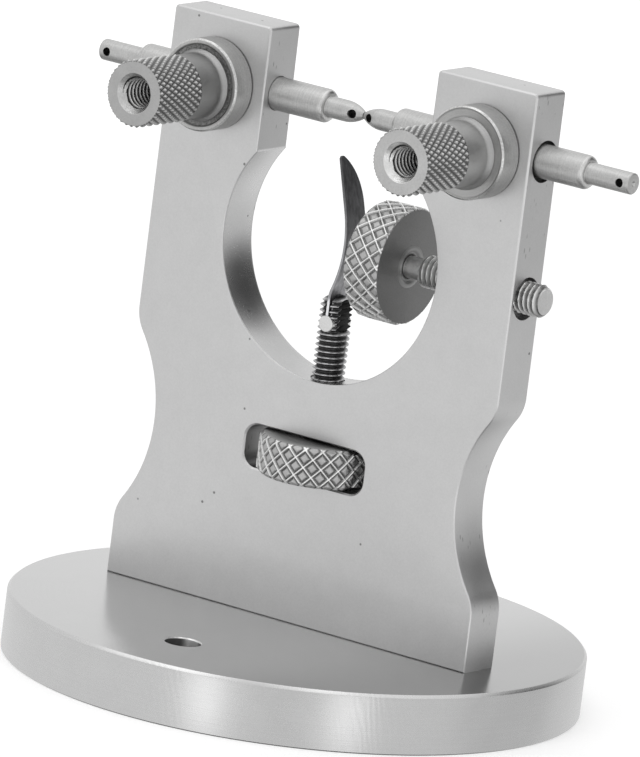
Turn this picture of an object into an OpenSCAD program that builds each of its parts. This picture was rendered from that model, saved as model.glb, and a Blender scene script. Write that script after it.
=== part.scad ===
// Balance truing caliper for watch work. An upright plate stands on a round base. Two runners slide
// on one axis through its arms, each held by a clamp, and a spring gauge blade stands between them.
// A thumb nut in the plate's window sets the blade's height and a knurled wheel sets its lean.
// X runs along the plate, Y from the front (-) to the back (+) and Z up from the base's underside.

/* [Base] */
// Diameter of the round base
base_d = 70; // [66:0.5:90]
// Height of the round base
base_h = 7.3; // [6:0.1:12]
// Width of the bevel round the base's top and bottom edges
base_edge = 0.5; // [0.2:0.05:1]
// Diameter of each hole that bolts the base to a bench
mount_d = 4.3; // [3:0.1:5]
// Width of the bevel round each bench hole
mount_rim = 0.4; // [0.1:0.05:0.8]
// Distance between the two bench holes, front to back
mount_pitch = 46.6; // [40:0.2:54]

/* [Frame screws] */
// Diameter of the screws that hold the plate to the base from below
screw_d = 3; // [2:0.1:3.5]
// Diameter of their countersunk heads
screw_head_d = 6; // [5:0.1:7]
// Distance that each screw reaches into the plate
screw_reach = 6.5; // [4:0.1:8]
// Distance between the two screws
screw_pitch = 30; // [20:0.5:36]

/* [Frame plate] */
// Width of the plate
plate_w = 53; // [50:0.5:58]
// Thickness of the plate
plate_t = 6; // [5.5:0.1:7]
// Height of the plate above the base
plate_h = 70.2; // [68:0.2:76]
// Diameter of the round opening
opening_d = 31.7; // [29:0.1:33]
// Distance from the plate's top down to the opening's centre
opening_down = 25.1; // [23.8:0.1:25.8]
// Width of the straight gap between the arms
gap_w = 25; // [22:0.2:27]
// Width of the plate at the narrowest part of its waist
waist_w = 44.6; // [40:0.2:49]
// Radius of the hollow in each side of the waist
waist_r = 17.8; // [15:0.1:18.5]
// Height of the waist's narrowest part above the base
waist_up = 19.7; // [19:0.1:21]
// Radius that blends each end of a hollow into the side
waist_blend = 5; // [3:0.1:6]

/* [Runners] */
// Distance from the plate's top down to the runners' axis
runner_down = 8.25; // [7.2:0.05:8.7]
// Diameter of a runner where it slides in its arm
runner_d = 4.1; // [3.6:0.05:4.4]
// Diameter of a runner's two thin ends
thin_d = 2.6; // [2:0.05:3]
// Length of a runner's thick part
thick_l = 29; // [26:0.5:32]
// Length of a runner's outer thin end
outer_l = 6; // [4:0.1:8]
// Length of a runner's inner thin end
inner_l = 4.5; // [4:0.1:6]
// Radius of the rounded shoulders between thick and thin
shoulder_r = 0.6; // [0.3:0.05:0.7]
// Length of the rounded nose
nose_l = 2.7; // [2:0.1:3.5]
// Diameter of the flat at the end of the nose
nose_end_d = 0.6; // [0.55:0.05:0.9]
// Bevel round the outer end
runner_edge = 0.2; // [0.1:0.05:0.3]
// Diameter of the hole across each thin end
cross_d = 1; // [0.6:0.05:1.2]
// Distance from each end to its cross hole
cross_in = 1.2; // [1:0.05:1.6]
// Diameter of the outer pivot hole
pivot_outer_d = 0.5; // [0.3:0.05:0.7]
// Diameter of the inner pivot hole, in the nose
pivot_inner_d = 0.25; // [0.15:0.05:0.35]
// Diameter of the cup at that hole's mouth
cup_d = 0.5; // [0.4:0.05:0.5]
// Depth of the cup
cup = 0.22; // [0.2:0.01:0.3]
// Place where the two noses meet, right of the centre line
meet_x = 0.5; // [-1:0.1:1.5]
// Gap between the two noses
meet_gap = 0.1; // [0.1:0.05:0.5]
// Radial clearance of a runner in its bore
runner_fit = 0.05; // [0.02:0.01:0.1]
// Diameter of the counterbore round each runner, on the plate's side
runner_relief_d = 5.4; // [5:0.1:5.8]
// Depth of that counterbore
runner_relief = 2; // [1:0.1:3]

/* [Clamps] */
// Diameter of the stud that the runner passes through
stud_d = 6; // [5.7:0.1:6.4]
// Distance from the stud's back end to the plate's back face
stud_inset = 0.1; // [0.05:0.05:0.2]
// Distance from the stud's shoulder to the plate's front face
stud_shoulder = 0.2; // [0.1:0.05:0.3]
// Diameter of the clamp's thread
clamp_thread_d = 5; // [4.6:0.1:5.2]
// Distance that the threaded end reaches out of the plate's front face
clamp_thread_l = 11.2; // [9:0.1:13]
// Diameter of the collar under each clamp nut
collar_d = 11.2; // [10.8:0.1:12.5]
// Thickness of the collar
collar_t = 3.3; // [2.5:0.1:4]
// Diameter of the dish in the collar's front face
dish_d = 10; // [9.8:0.1:10.2]
// Depth of the dish
dish = 0.7; // [0.4:0.05:1]
// Diameter of the clamp nut's foot
foot_d = 9.3; // [8.6:0.1:9.4]
// Height of the clamp nut's foot, up to its flare
foot_h = 1.2; // [0.8:0.1:1.6]
// Height of the flare between the foot and the neck
flare_h = 0.6; // [0.4:0.1:1]
// Diameter of the neck
neck_d = 7.8; // [7.2:0.1:7.9]
// Length of the neck
neck_l = 4; // [3:0.1:5]
// Diameter of the clamp nut over its knurl
grip_d = 8.15; // [8:0.05:9]
// Length of the knurled grip
grip_l = 8; // [6:0.1:10]
// Bevel at each end of the grip
grip_edge = 0.3; // [0.2:0.05:0.5]
// Diameter of the countersink at the clamp nut's mouth
mouth_d = 5.4; // [5.3:0.1:6]

/* [Height adjustment] */
// Width of the window
window_w = 17.6; // [17:0.1:19]
// Height of the window
window_h = 5.1; // [4.5:0.1:5.6]
// Distance from the plate's top down to the window's centre
window_down = 50.25; // [49.7:0.05:50.7]
// Radius of the window's corners
window_r = 1.8; // [1:0.1:2]
// Diameter of the thumb nut
thumb_d = 14.5; // [13:0.1:16]
// Gap above and below the thumb nut
thumb_gap = 0.15; // [0.1:0.05:0.2]
// Bevel round the thumb nut's edges
thumb_edge = 0.5; // [0.3:0.05:0.7]
// Diameter of the threaded post, also of the side screw
thread_d = 4; // [3.8:0.1:4.2]
// Length of the post
post_l = 30; // [28:0.5:31]
// Distance from the plate's top down to the post's top
post_down = 30.2; // [29.2:0.1:30.7]
// Height of the post's domed end
dome_h = 1.05; // [0.8:0.05:1.3]
// Distance from the post's axis to the flat on its right side
flat_x = 1.3; // [1.2:0.05:1.6]
// Length of that flat
flat_l = 4.3; // [4:0.1:5]
// Room under the post in its hole
post_room = 3.2; // [3:0.1:3.8]
// Radial clearance of the post in its hole
post_fit = 0.08; // [0.04:0.01:0.1]
// Radial clearance between a screw thread and its nut
thread_fit = 0.05; // [0.02:0.01:0.08]

/* [Gauge blade] */
// Diameter of the blade's pivot pin
pin_d = 2; // [1.6:0.05:2.2]
// Length of the pivot pin
pin_l = 3.9; // [3.6:0.05:4]
// Distance from the post's top down to the pin
pin_down = 3.45; // [3.2:0.05:3.7]
// Radial clearance of the pin in the post
pin_fit = 0.03; // [0.02:0.01:0.05]
// Thickness of the blade
blade_t = 0.36; // [0.25:0.01:0.45]
// Width of the blade, front to back
blade_w = 3.8; // [3.2:0.05:3.8]
// Clearance on each side of the blade in the post's slot
slot_gap = 0.2; // [0.18:0.01:0.3]
// Depth of the blade's tenon below the pin's axis
tenon = 0.4; // [0.2:0.05:0.5]
// Shoulder at each end of the tenon
tenon_shoulder = 0.4; // [0.3:0.05:0.6]
// Height of the blade's first bend above the pin
bend_up = 3.05; // [2.9:0.05:3.2]
// Radius of the first bend
bend_r = 3; // [2:0.1:4]
// Lean to the right above the first bend, in degrees
lean_low = 20; // [16:0.5:21]
// Length of the straight between the bends
rise = 0.6; // [0.4:0.1:0.9]
// Radius of the long bow
bow_r = 15.5; // [14:0.1:17]
// Lean to the left above the bow, in degrees
lean_high = 15; // [12:0.5:16]
// Length of the straight top
top_l = 6.9; // [6:0.1:7.5]
// Radius of the blade's curved back, near its tip
tip_r = 4.3; // [3.9:0.1:5]
// Radius of the tip's front corner
tip_corner = 0.6; // [0.3:0.1:0.8]

/* [Side adjuster] */
// Distance from the plate's top down to the side screw's axis
adjust_down = 24.7; // [24.2:0.1:25.7]
// Diameter of the wheel
wheel_d = 14.2; // [13:0.1:15]
// Thickness of the wheel
wheel_t = 4.8; // [4:0.1:5.5]
// Bevel round the wheel's edges
wheel_edge = 0.4; // [0.2:0.05:0.6]
// Distance from the centre line to the wheel's left face
wheel_x = 5; // [4.5:0.1:5.5]
// Diameter of the side screw's neck and tip
side_neck_d = 2.3; // [2:0.05:2.8]
// Length of the neck between the wheel and the thread
side_neck_l = 2.4; // [1.5:0.1:3]
// Diameter of the hub let into the wheel's right face
hub_d = 5.2; // [4.6:0.1:6]
// Thickness of the hub
hub_t = 0.8; // [0.5:0.1:1.2]
// Length of the side screw's thread
side_thread_l = 17.6; // [17:0.1:19]
// Bevel at the end of the thread
side_edge = 0.5; // [0.3:0.05:0.8]
// Gap between the screw's tip and the blade
touch_gap = 0.3; // [0.3:0.05:0.5]
// Radial clearance of the screw's neck in the wheel
wheel_fit = 0.04; // [0.02:0.01:0.08]
// Diameter of the counterbore round the side screw
side_relief_d = 5.3; // [4.8:0.1:6]
// Depth of that counterbore
side_relief = 1.2; // [0.8:0.1:2]

/* [Hidden] */
$fn = 96;
// How far a cut runs past the face that it opens
over = 1;
// Room past the end of each screw in the plate
screw_room = 1;
bend_steps = 6;
bow_steps = 16;
tip_steps = 10;
plate_half_t = plate_t / 2;
plate_half_w = plate_w / 2;
arm_x = (plate_w + gap_w) / 4;
plate_top_z = base_h + plate_h;
opening_z = plate_top_z - opening_down;
runner_z = plate_top_z - runner_down;
window_z = plate_top_z - window_down;
adjust_z = plate_top_z - adjust_down;
post_top_z = plate_top_z - post_down;
post_z = post_top_z - post_l;
pin_z = post_top_z - pin_down;
waist_x = waist_w / 2 + waist_r;
waist_z = base_h + waist_up;
thumb_h = window_h - 2 * thumb_gap;
blade_half_w = blade_w / 2;
shoulder_z = pin_d / 2;
runner_l = outer_l + thick_l + inner_l;
nose_drop = (thin_d - nose_end_d) / 2;
nose_r = (nose_l ^ 2 + nose_drop ^ 2) / (2 * nose_drop);
collar_y = -plate_half_t - collar_t;
seat_y = collar_y + dish;
nut_l = foot_h + flare_h + neck_l + grip_l;
dome_r = ((thread_d / 2) ^ 2 + dome_h ^ 2) / (2 * dome_h);
head_h = (screw_head_d - screw_d) / 2;
bow_x = bend_r * (1 - cos(lean_low)) + rise * sin(lean_low) + bow_r * (1 - cos(lean_low));
tip_x = bow_x + blade_t / 2 + touch_gap;

// A cylinder along X, from x0 to x1
module bar_x(d, x0, x1) {
    translate([x0, 0, 0])
        rotate([0, 90, 0])
            cylinder(d = d, h = x1 - x0);
}

// A cylinder along Y, from y0 to y1
module bar_y(d, y0, y1) {
    translate([0, y0, 0])
        rotate([-90, 0, 0])
            cylinder(d = d, h = y1 - y0);
}

// Half section of a turned disc with both edges bevelled
module bevelled_half(r, h, edge) {
    polygon([[0, 0], [r - edge, 0], [r, edge], [r, h - edge], [r - edge, h], [0, h]]);
}

// Half section of a turned bar with both ends rounded at the rim
module rounded_half(r, h, rim) {
    square([r - rim, h]);
    translate([0, rim])
        square([r, h - 2 * rim]);
    for (up = [rim, h - rim])
        translate([r - rim, up])
            circle(rim);
}

// A hole down through z = top, with its rim bevelled at the top
module rimmed_hole(d, rim, bottom, top) {
    translate([0, 0, bottom - over])
        cylinder(d = d, h = top - bottom + 2 * over);
    translate([0, 0, top - rim])
        cylinder(d1 = d, d2 = d + 2 * (rim + over), h = rim + over);
}

module base_disc() {
    color("silver")
    difference() {
        rotate_extrude()
            bevelled_half(base_d / 2, base_h, base_edge);
        for (side = [-1, 1])
            translate([0, side * mount_pitch / 2, 0])
                rimmed_hole(mount_d, mount_rim, 0, base_h);
        for (side = [-1, 1])
            translate([side * screw_pitch / 2, 0, 0]) {
                translate([0, 0, -over])
                    cylinder(d = screw_d + 2 * thread_fit, h = base_h + 2 * over);
                translate([0, 0, -thread_fit])
                    cylinder(d1 = screw_head_d + 2 * thread_fit, d2 = screw_d, h = head_h + thread_fit);
            }
    }
}

// The two countersunk screws that draw the plate down onto the base
module frame_screws() {
    color("gray")
    for (side = [-1, 1])
        translate([side * screw_pitch / 2, 0, 0]) {
            cylinder(d1 = screw_head_d, d2 = screw_d, h = head_h);
            cylinder(d = screw_d, h = base_h + screw_reach);
        }
}

// One side hollow of the waist, with the blends at its two ends
module waist_hollow() {
    blend_x = plate_half_w - waist_blend;
    blend_up = sqrt((waist_r + waist_blend) ^ 2 - (waist_x - blend_x) ^ 2);
    translate([waist_x, waist_z]) {
        circle(waist_r);
        for (side = [-1, 1])
            difference() {
                polygon([[0, 0], [plate_half_w - waist_x, side * blend_up],
                    [blend_x - waist_x, side * blend_up]]);
                translate([blend_x - waist_x, side * blend_up])
                    circle(waist_blend);
            }
    }
}

module window() {
    half_w = window_w / 2 - window_r;
    half_h = window_h / 2 - window_r;
    translate([0, window_z]) {
        square([window_w, 2 * half_h], center = true);
        square([2 * half_w, window_h], center = true);
        for (x = [-half_w, half_w], up = [-half_h, half_h])
            translate([x, up])
                circle(window_r);
    }
}

// The plate's face, drawn in X and Z
module plate_face() {
    difference() {
        translate([-plate_half_w, base_h])
            square([plate_w, plate_h]);
        waist_hollow();
        mirror([1, 0])
            waist_hollow();
        translate([0, opening_z])
            circle(d = opening_d);
        translate([-gap_w / 2, opening_z])
            square([gap_w, opening_down + over]);
        window();
    }
}

// The bores of one arm for its runner and its clamp stud
module arm_bores() {
    translate([0, 0, runner_z]) {
        bar_x(runner_d + 2 * runner_fit, gap_w / 2 - over, plate_half_w + over);
        bar_x(runner_relief_d, plate_half_w - runner_relief, plate_half_w + over);
        translate([arm_x, 0, 0])
            bar_y(stud_d + 2 * thread_fit, -plate_half_t - over, plate_half_t + over);
    }
}

module frame_plate() {
    hole_d = thread_d + 2 * thread_fit;
    color("lightgray")
    difference() {
        rotate([90, 0, 0])
            linear_extrude(plate_t, center = true)
                plate_face();
        arm_bores();
        mirror([1, 0, 0])
            arm_bores();
        translate([0, 0, adjust_z]) {
            bar_x(hole_d, opening_d / 2 - 2 * over, plate_half_w + over);
            bar_x(side_relief_d, plate_half_w - side_relief, plate_half_w + over);
        }
        translate([0, 0, post_z - post_room])
            cylinder(d = thread_d + 2 * post_fit, h = opening_z - post_z);
        for (side = [-1, 1])
            translate([side * screw_pitch / 2, 0, base_h - over])
                cylinder(d = screw_d + 2 * thread_fit, h = over + screw_reach + screw_room);
    }
}

// Half section of a runner, from its outer end at 0 to its nose
module runner_half() {
    thin_r = thin_d / 2;
    polygon([[0, 0], [thin_r - runner_edge, 0], [thin_r, runner_edge], [thin_r, runner_l - nose_l],
        [0, runner_l - nose_l]]);
    translate([0, outer_l])
        rounded_half(runner_d / 2, thick_l, shoulder_r);
    translate([0, runner_l - nose_l])
        intersection() {
            square([thin_r, nose_l]);
            translate([thin_r - nose_r, 0])
                circle(nose_r);
        }
}

// A runner with its nose at x = 0, reaching to the left
module runner() {
    translate([-runner_l, 0, runner_z])
    difference() {
        rotate([0, 90, 0])
            rotate_extrude()
                intersection() {
                    runner_half();
                    square([runner_d, runner_l]);
                }
        for (x = [cross_in, runner_l - cross_in])
            translate([x, 0, 0])
                bar_y(cross_d, -runner_d, runner_d);
        bar_x(pivot_outer_d, -over, cross_in);
        bar_x(pivot_inner_d, runner_l - cross_in, runner_l + over);
        translate([runner_l - cup, 0, 0])
            rotate([0, 90, 0])
                cylinder(d1 = pivot_inner_d, d2 = cup_d + (cup_d - pivot_inner_d) * over / cup, h = cup + over);
    }
}

module left_runner() {
    color("silver")
    translate([meet_x - meet_gap / 2, 0, 0])
        runner();
}

module right_runner() {
    color("silver")
    translate([meet_x + meet_gap / 2, 0, 0])
        mirror([1, 0, 0])
            runner();
}

// Stud with a shank that fills the arm's bore and a cross bore for the runner
module clamp_stud() {
    front_y = stud_shoulder - plate_half_t;
    color("gray")
    difference() {
        union() {
            bar_y(stud_d, front_y, plate_half_t - stud_inset);
            bar_y(clamp_thread_d, -plate_half_t - clamp_thread_l, front_y);
        }
        bar_x(runner_d + 2 * runner_fit, -stud_d, stud_d);
    }
}

// Collar with a dished front face that seats the nut's foot
module clamp_collar() {
    hole_d = clamp_thread_d + 4 * thread_fit;
    edge = (collar_d - dish_d) / 4;
    color("silver")
    difference() {
        translate([0, collar_y, 0])
            rotate([-90, 0, 0])
                rotate_extrude()
                    polygon([[0, 0], [collar_d / 2 - edge, 0], [collar_d / 2, edge],
                        [collar_d / 2, collar_t], [0, collar_t]]);
        bar_y(hole_d, collar_y - over, over - plate_half_t);
        bar_y(dish_d, collar_y - over, seat_y);
    }
}

// Clamp nut: foot, flare, neck and knurled grip, bored through, with its foot on the dish
module clamp_nut() {
    foot_r = foot_d / 2;
    neck_r = neck_d / 2;
    grip_r = grip_d / 2;
    neck_at = foot_h + flare_h;
    grip_at = neck_at + neck_l;
    hole_d = clamp_thread_d + 2 * thread_fit;
    mouth = (mouth_d - hole_d) / 2;
    color("silver")
    translate([0, seat_y, 0])
        rotate([90, 0, 0])
        difference() {
            rotate_extrude()
                polygon([[0, 0], [foot_r, 0], [foot_r, foot_h], [neck_r, neck_at], [neck_r, grip_at],
                    [grip_r - grip_edge, grip_at], [grip_r, grip_at + grip_edge],
                    [grip_r, nut_l - grip_edge], [grip_r - grip_edge, nut_l], [0, nut_l]]);
            rimmed_hole(hole_d, mouth, 0, nut_l);
        }
}

// Places a clamp piece at the left (-1) or right (1) arm
module at_arm(side) {
    translate([side * arm_x, 0, runner_z])
        children();
}

module left_clamp_stud() at_arm(-1) clamp_stud();
module right_clamp_stud() at_arm(1) clamp_stud();
module left_clamp_collar() at_arm(-1) clamp_collar();
module right_clamp_collar() at_arm(1) clamp_collar();
module left_clamp_nut() at_arm(-1) clamp_nut();
module right_clamp_nut() at_arm(1) clamp_nut();

// Knurled nut that is trapped in the window and lifts the post
module thumb_nut() {
    color("silver")
    translate([0, 0, window_z - thumb_h / 2])
    difference() {
        rotate_extrude()
            bevelled_half(thumb_d / 2, thumb_h, thumb_edge);
        translate([0, 0, -over])
            cylinder(d = thread_d + 2 * thread_fit, h = thumb_h + 2 * over);
    }
}

// Threaded post with a domed head, slotted for the blade and flatted on its right side
module gauge_post() {
    post_r = thread_d / 2;
    slot_half_w = blade_t / 2 + slot_gap;
    color("dimgray")
    difference() {
        translate([0, 0, post_z])
            rotate_extrude() {
                square([post_r, post_l - dome_h]);
                intersection() {
                    square([post_r, post_l]);
                    translate([0, post_l - dome_r])
                        circle(dome_r);
                }
            }
        translate([-slot_half_w, -thread_d, pin_z])
            cube([2 * slot_half_w, 2 * thread_d, pin_down + over]);
        translate([flat_x, -thread_d, post_top_z - flat_l])
            cube([thread_d, 2 * thread_d, flat_l + over]);
        translate([0, 0, pin_z])
            bar_y(pin_d + 2 * pin_fit, -thread_d, thread_d);
    }
}

// Pivot pin with a mortise for the blade's tenon
module gauge_pin() {
    mortise_half_w = blade_half_w - tenon_shoulder;
    color("lightgray")
    translate([0, 0, pin_z])
    difference() {
        bar_y(pin_d, -pin_l / 2, pin_l / 2);
        translate([-blade_t / 2, -mortise_half_w, -tenon])
            cube([blade_t, 2 * mortise_half_w, tenon + pin_d]);
    }
}

// Point and lean of the blade's middle line, as [x, z, lean] above the pin
function below_bow(k) =
    let (a = lean_low * k / bend_steps)
    [bend_r * (1 - cos(a)), bend_up + bend_r * sin(a), a];
bow_start = below_bow(bend_steps) + rise * [sin(lean_low), cos(lean_low), 0];
function in_bow(k) =
    let (a = lean_low - (lean_low + lean_high) * k / bow_steps)
    [bow_start[0] + bow_r * (cos(a) - cos(lean_low)), bow_start[1] + bow_r * (sin(lean_low) - sin(a)), a];
blade_top = in_bow(bow_steps) + top_l * [-sin(lean_high), cos(lean_high), 0];
blade_path = concat([[0, -tenon, 0]], [for (k = [0:bend_steps]) below_bow(k)],
    [for (k = [0:bow_steps]) in_bow(k)], [blade_top]);
function beside(p, off) = [p[0] + off * cos(p[2]), p[1] - off * sin(p[2])];

// The bent strip, seen from the front
module blade_strip() {
    count = len(blade_path);
    polygon(concat([for (p = blade_path) beside(p, -blade_t / 2)],
        [for (k = [1:count]) beside(blade_path[count - k], blade_t / 2)]));
}

// The blade's outline, seen from the right: tenon, straight edges and a tip curved at the back
module blade_outline() {
    tip_up = blade_top[1] - sqrt(tip_r ^ 2 - (blade_w - tip_r) ^ 2);
    corner_y = tip_corner - blade_half_w;
    back_y = blade_half_w - tip_r;
    reach = tip_r - tip_corner;
    turn = acos((corner_y - back_y) / reach);
    corner_up = tip_up + reach * sin(turn);
    tenon_half_w = blade_half_w - tenon_shoulder;
    polygon(concat(
        [[-tenon_half_w, -tenon], [tenon_half_w, -tenon], [tenon_half_w, shoulder_z],
            [blade_half_w, shoulder_z]],
        [for (k = [0:tip_steps]) let (a = turn * k / tip_steps)
            [back_y + tip_r * cos(a), tip_up + tip_r * sin(a)]],
        [for (k = [1:tip_steps]) let (a = turn + (180 - turn) * k / tip_steps)
            [corner_y + tip_corner * cos(a), corner_up + tip_corner * sin(a)]],
        [[-blade_half_w, shoulder_z], [-tenon_half_w, shoulder_z]]));
}

module gauge_blade() {
    color("darkslategray")
    translate([0, 0, pin_z])
    intersection() {
        rotate([90, 0, 0])
            linear_extrude(2 * blade_w, center = true)
                blade_strip();
        rotate([90, 0, 90])
            linear_extrude(2 * tip_r + 2 * bow_r, center = true)
                blade_outline();
    }
}

// Knurled wheel, let onto the side screw's neck and seated on its hub
module adjuster_wheel() {
    color("silver")
    translate([wheel_x, 0, adjust_z])
    difference() {
        rotate([0, 90, 0])
            rotate_extrude()
                bevelled_half(wheel_d / 2, wheel_t, wheel_edge);
        bar_x(side_neck_d + 2 * wheel_fit, -over, wheel_t + over);
        bar_x(hub_d + 2 * wheel_fit, wheel_t - hub_t, wheel_t + over);
    }
}

// Side screw: rounded tip, neck, hub and thread, from left to right
module adjuster_screw() {
    neck_r = side_neck_d / 2;
    thread_r = thread_d / 2;
    wheel_end = wheel_x + wheel_t - tip_x;
    thread_at = wheel_end + side_neck_l;
    thread_end = thread_at + side_thread_l;
    color("gray")
    translate([tip_x, 0, adjust_z])
        rotate([0, 90, 0])
            rotate_extrude() {
                translate([0, neck_r])
                    intersection() {
                        circle(neck_r);
                        translate([0, -neck_r])
                            square([neck_r, 2 * neck_r]);
                    }
                translate([0, neck_r])
                    square([neck_r, thread_at - neck_r]);
                translate([0, wheel_end - hub_t])
                    square([hub_d / 2, hub_t]);
                polygon([[0, thread_at], [thread_r, thread_at], [thread_r, thread_end - side_edge],
                    [thread_r - side_edge, thread_end], [0, thread_end]]);
            }
}

base_disc();
frame_plate();
frame_screws();
left_runner();
right_runner();
left_clamp_stud();
right_clamp_stud();
left_clamp_collar();
right_clamp_collar();
left_clamp_nut();
right_clamp_nut();
thumb_nut();
gauge_post();
gauge_pin();
gauge_blade();
adjuster_wheel();
adjuster_screw();
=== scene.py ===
"""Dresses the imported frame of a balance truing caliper: its pieces, finishes, camera and studio.

Lengths are in millimetres until a surface becomes a mesh, which is in metres as the frame and lamps are.
"""

import logging
import math
from collections.abc import Callable, Sequence
from dataclasses import dataclass, field
from enum import Enum

import bpy
import numpy as np
from mathutils import Matrix, Vector


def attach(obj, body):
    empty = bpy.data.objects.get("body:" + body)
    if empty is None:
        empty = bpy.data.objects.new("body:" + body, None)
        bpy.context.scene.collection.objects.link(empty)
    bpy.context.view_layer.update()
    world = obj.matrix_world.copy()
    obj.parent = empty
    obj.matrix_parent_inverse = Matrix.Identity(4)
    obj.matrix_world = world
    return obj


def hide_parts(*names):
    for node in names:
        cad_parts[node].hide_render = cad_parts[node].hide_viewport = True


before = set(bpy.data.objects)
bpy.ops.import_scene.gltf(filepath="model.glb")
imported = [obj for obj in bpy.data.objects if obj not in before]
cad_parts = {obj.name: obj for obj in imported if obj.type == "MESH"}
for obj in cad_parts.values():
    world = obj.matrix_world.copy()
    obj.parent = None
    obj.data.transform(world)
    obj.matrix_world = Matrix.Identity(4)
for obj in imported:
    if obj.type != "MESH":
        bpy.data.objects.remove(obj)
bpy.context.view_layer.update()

LOG = logging.getLogger("truing_caliper")
MM = 0.001
TURN = 2 * math.pi
Array = np.ndarray
Pair = tuple[float, float]
Point = tuple[float, float, float]
Quad = tuple[float, float, float, float]
UP: Point = (0.0, 0.0, 1.0)
RIGHT: Point = (1.0, 0.0, 0.0)
FRONT: Point = (0.0, -1.0, 0.0)
BACK: Point = (0.0, 1.0, 0.0)
# Above this angle between two faces, in degrees, an edge shows sharp.
CREASE = 32.0
# The heights of the runners, the side screw and the opening's middle.
RUNNER_Z, ADJUST_Z, OPENING_Z = 69.25, 52.8, 52.5
# How far the clamps, the bench holes and the base screws lie from the middle.
CLAMP_X, BENCH_Y, SCREW_X = 19.5, 23.3, 15.0
# The tool's one thread: its radius, pitch and depth, and the number of rows that draw a pitch.
THREAD_R, PITCH, THREAD_DEPTH, THREAD_ROWS = 2.0, 0.7, 0.6134 * 0.7, 12
# How dark the flat ends of a threaded rod are.
END_SHADE = 0.34
# A net's dirt and painted shade at shares of its depth, from its ridges, which take a painted highlight, to
# just above its deepest.
NET_SHARES, NET_GRIME_AND_SHADE = (0, 0.2, 0.65, 1), (-0.15, 0.46, 0.56)
# The power of the depth by which dirt and painted shade darken the grooves round points.
GROOVE_GRIME_AND_SHADE = 0.8
# Every finish's clouds and grain: the noise's scale, detail and roughness.
CLOUD, GRAIN = (0.35, 4, 0.5), (4.5, 3, 0.6)


class Slot(Enum):
    """The material slots."""

    PLATE = "plated_plate"
    BASE = "turned_base"
    TURNED = "turned_steel"
    KNURLED = "knurled_steel"
    THREAD = "thread_steel"
    BLACK = "black_steel"
    SPRING = "spring_steel"


class Coat(Enum):
    """The finishes, of which two may share a slot."""

    PLATE = "satin_plate"
    BASE = "turned_disc"
    RUNNER = "turned_rod"
    PIN = "bright_pin"
    COLLAR = "turned_ring"
    KNURLED = "knurled_nut"
    THREAD = "cut_screw"
    BLACK = "black_post"
    SPRING = "blued_strip"


class Solver(Enum):
    """The two ways that a cut is worked out: for plain walls, and for dense threads."""

    PLAIN = "EXACT"
    DENSE = "MANIFOLD"


class Side(Enum):
    """The two arms, by the sign of their X."""

    LEFT = -1
    RIGHT = 1

    @property
    def word(self) -> str:
        """The arm's name as the nodes and bodies spell it."""
        return self.name.lower()


@dataclass(frozen=True)
class Spindle:
    """A turning axis: its zero point, its direction and the direction from which angles count."""

    zero: Point
    along: Point
    start: Point

    def place(self, t: Array, r: Array, a: Array) -> Array:
        """Places rings round the axis.

        Point = zero + t along + r (cos a start + sin a side), where side is along x start.

        Args:
            t: Distances along the axis.
            r: Distances from the axis.
            a: Angles round it.

        Returns:
            The points, with one more dimension than t, r and a.
        """
        along, start = np.array(self.along, float), np.array(self.start, float)
        side = np.cross(along, start)
        t, r, a = np.broadcast_arrays(t, r, a)
        return (np.array(self.zero) + t[..., None] * along + (r * np.cos(a))[..., None] * start
                + (r * np.sin(a))[..., None] * side)


def heading(azimuth: float, height: float) -> Point:
    """The direction at a turn to the right of the front and an angle above the floor, in degrees.

    It is (sin az cos el, -cos az cos el, sin el).

    Args:
        azimuth: The turn.
        height: The angle.

    Returns:
        The direction, one long.
    """
    az, el = math.radians(azimuth), math.radians(height)
    return math.sin(az) * math.cos(el), -math.cos(az) * math.cos(el), math.sin(el)


def standing(x: float = 0.0, y: float = 0.0) -> Spindle:
    """The upright axis over a place on the floor."""
    return Spindle((x, y, 0), UP, RIGHT)


def angles(steps: int) -> Array:
    """Evenly spaced angles round one turn, in a row."""
    return np.arange(steps)[None, :] * TURN / steps


@dataclass
class Skin:
    """A closed surface.

    Attributes:
        points: The points, in millimetres.
        faces: The faces, in arrays of one face size each.
        marks: The length along the profile at each point, which the tool marks follow.
        painted_shade: The painted shade at each point, from 0 at a crest to 1 at the root of a knurl or
            thread, with the dirt in a knurl's grooves, and below 0 a painted highlight on an edge.
    """

    points: Array
    faces: list[Array]
    marks: Array
    painted_shade: Array


def joined(skins: Sequence[Skin]) -> Skin:
    """Puts several closed surfaces into one.

    Args:
        skins: The surfaces.

    Returns:
        One surface, whose faces count on through the points of all.
    """
    starts = np.cumsum([0] + [len(s.points) for s in skins])
    return Skin(np.vstack([s.points for s in skins]),
                [f + n for s, n in zip(skins, starts) for f in s.faces],
                np.concatenate([s.marks for s in skins]), np.concatenate([s.painted_shade for s in skins]))


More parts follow.
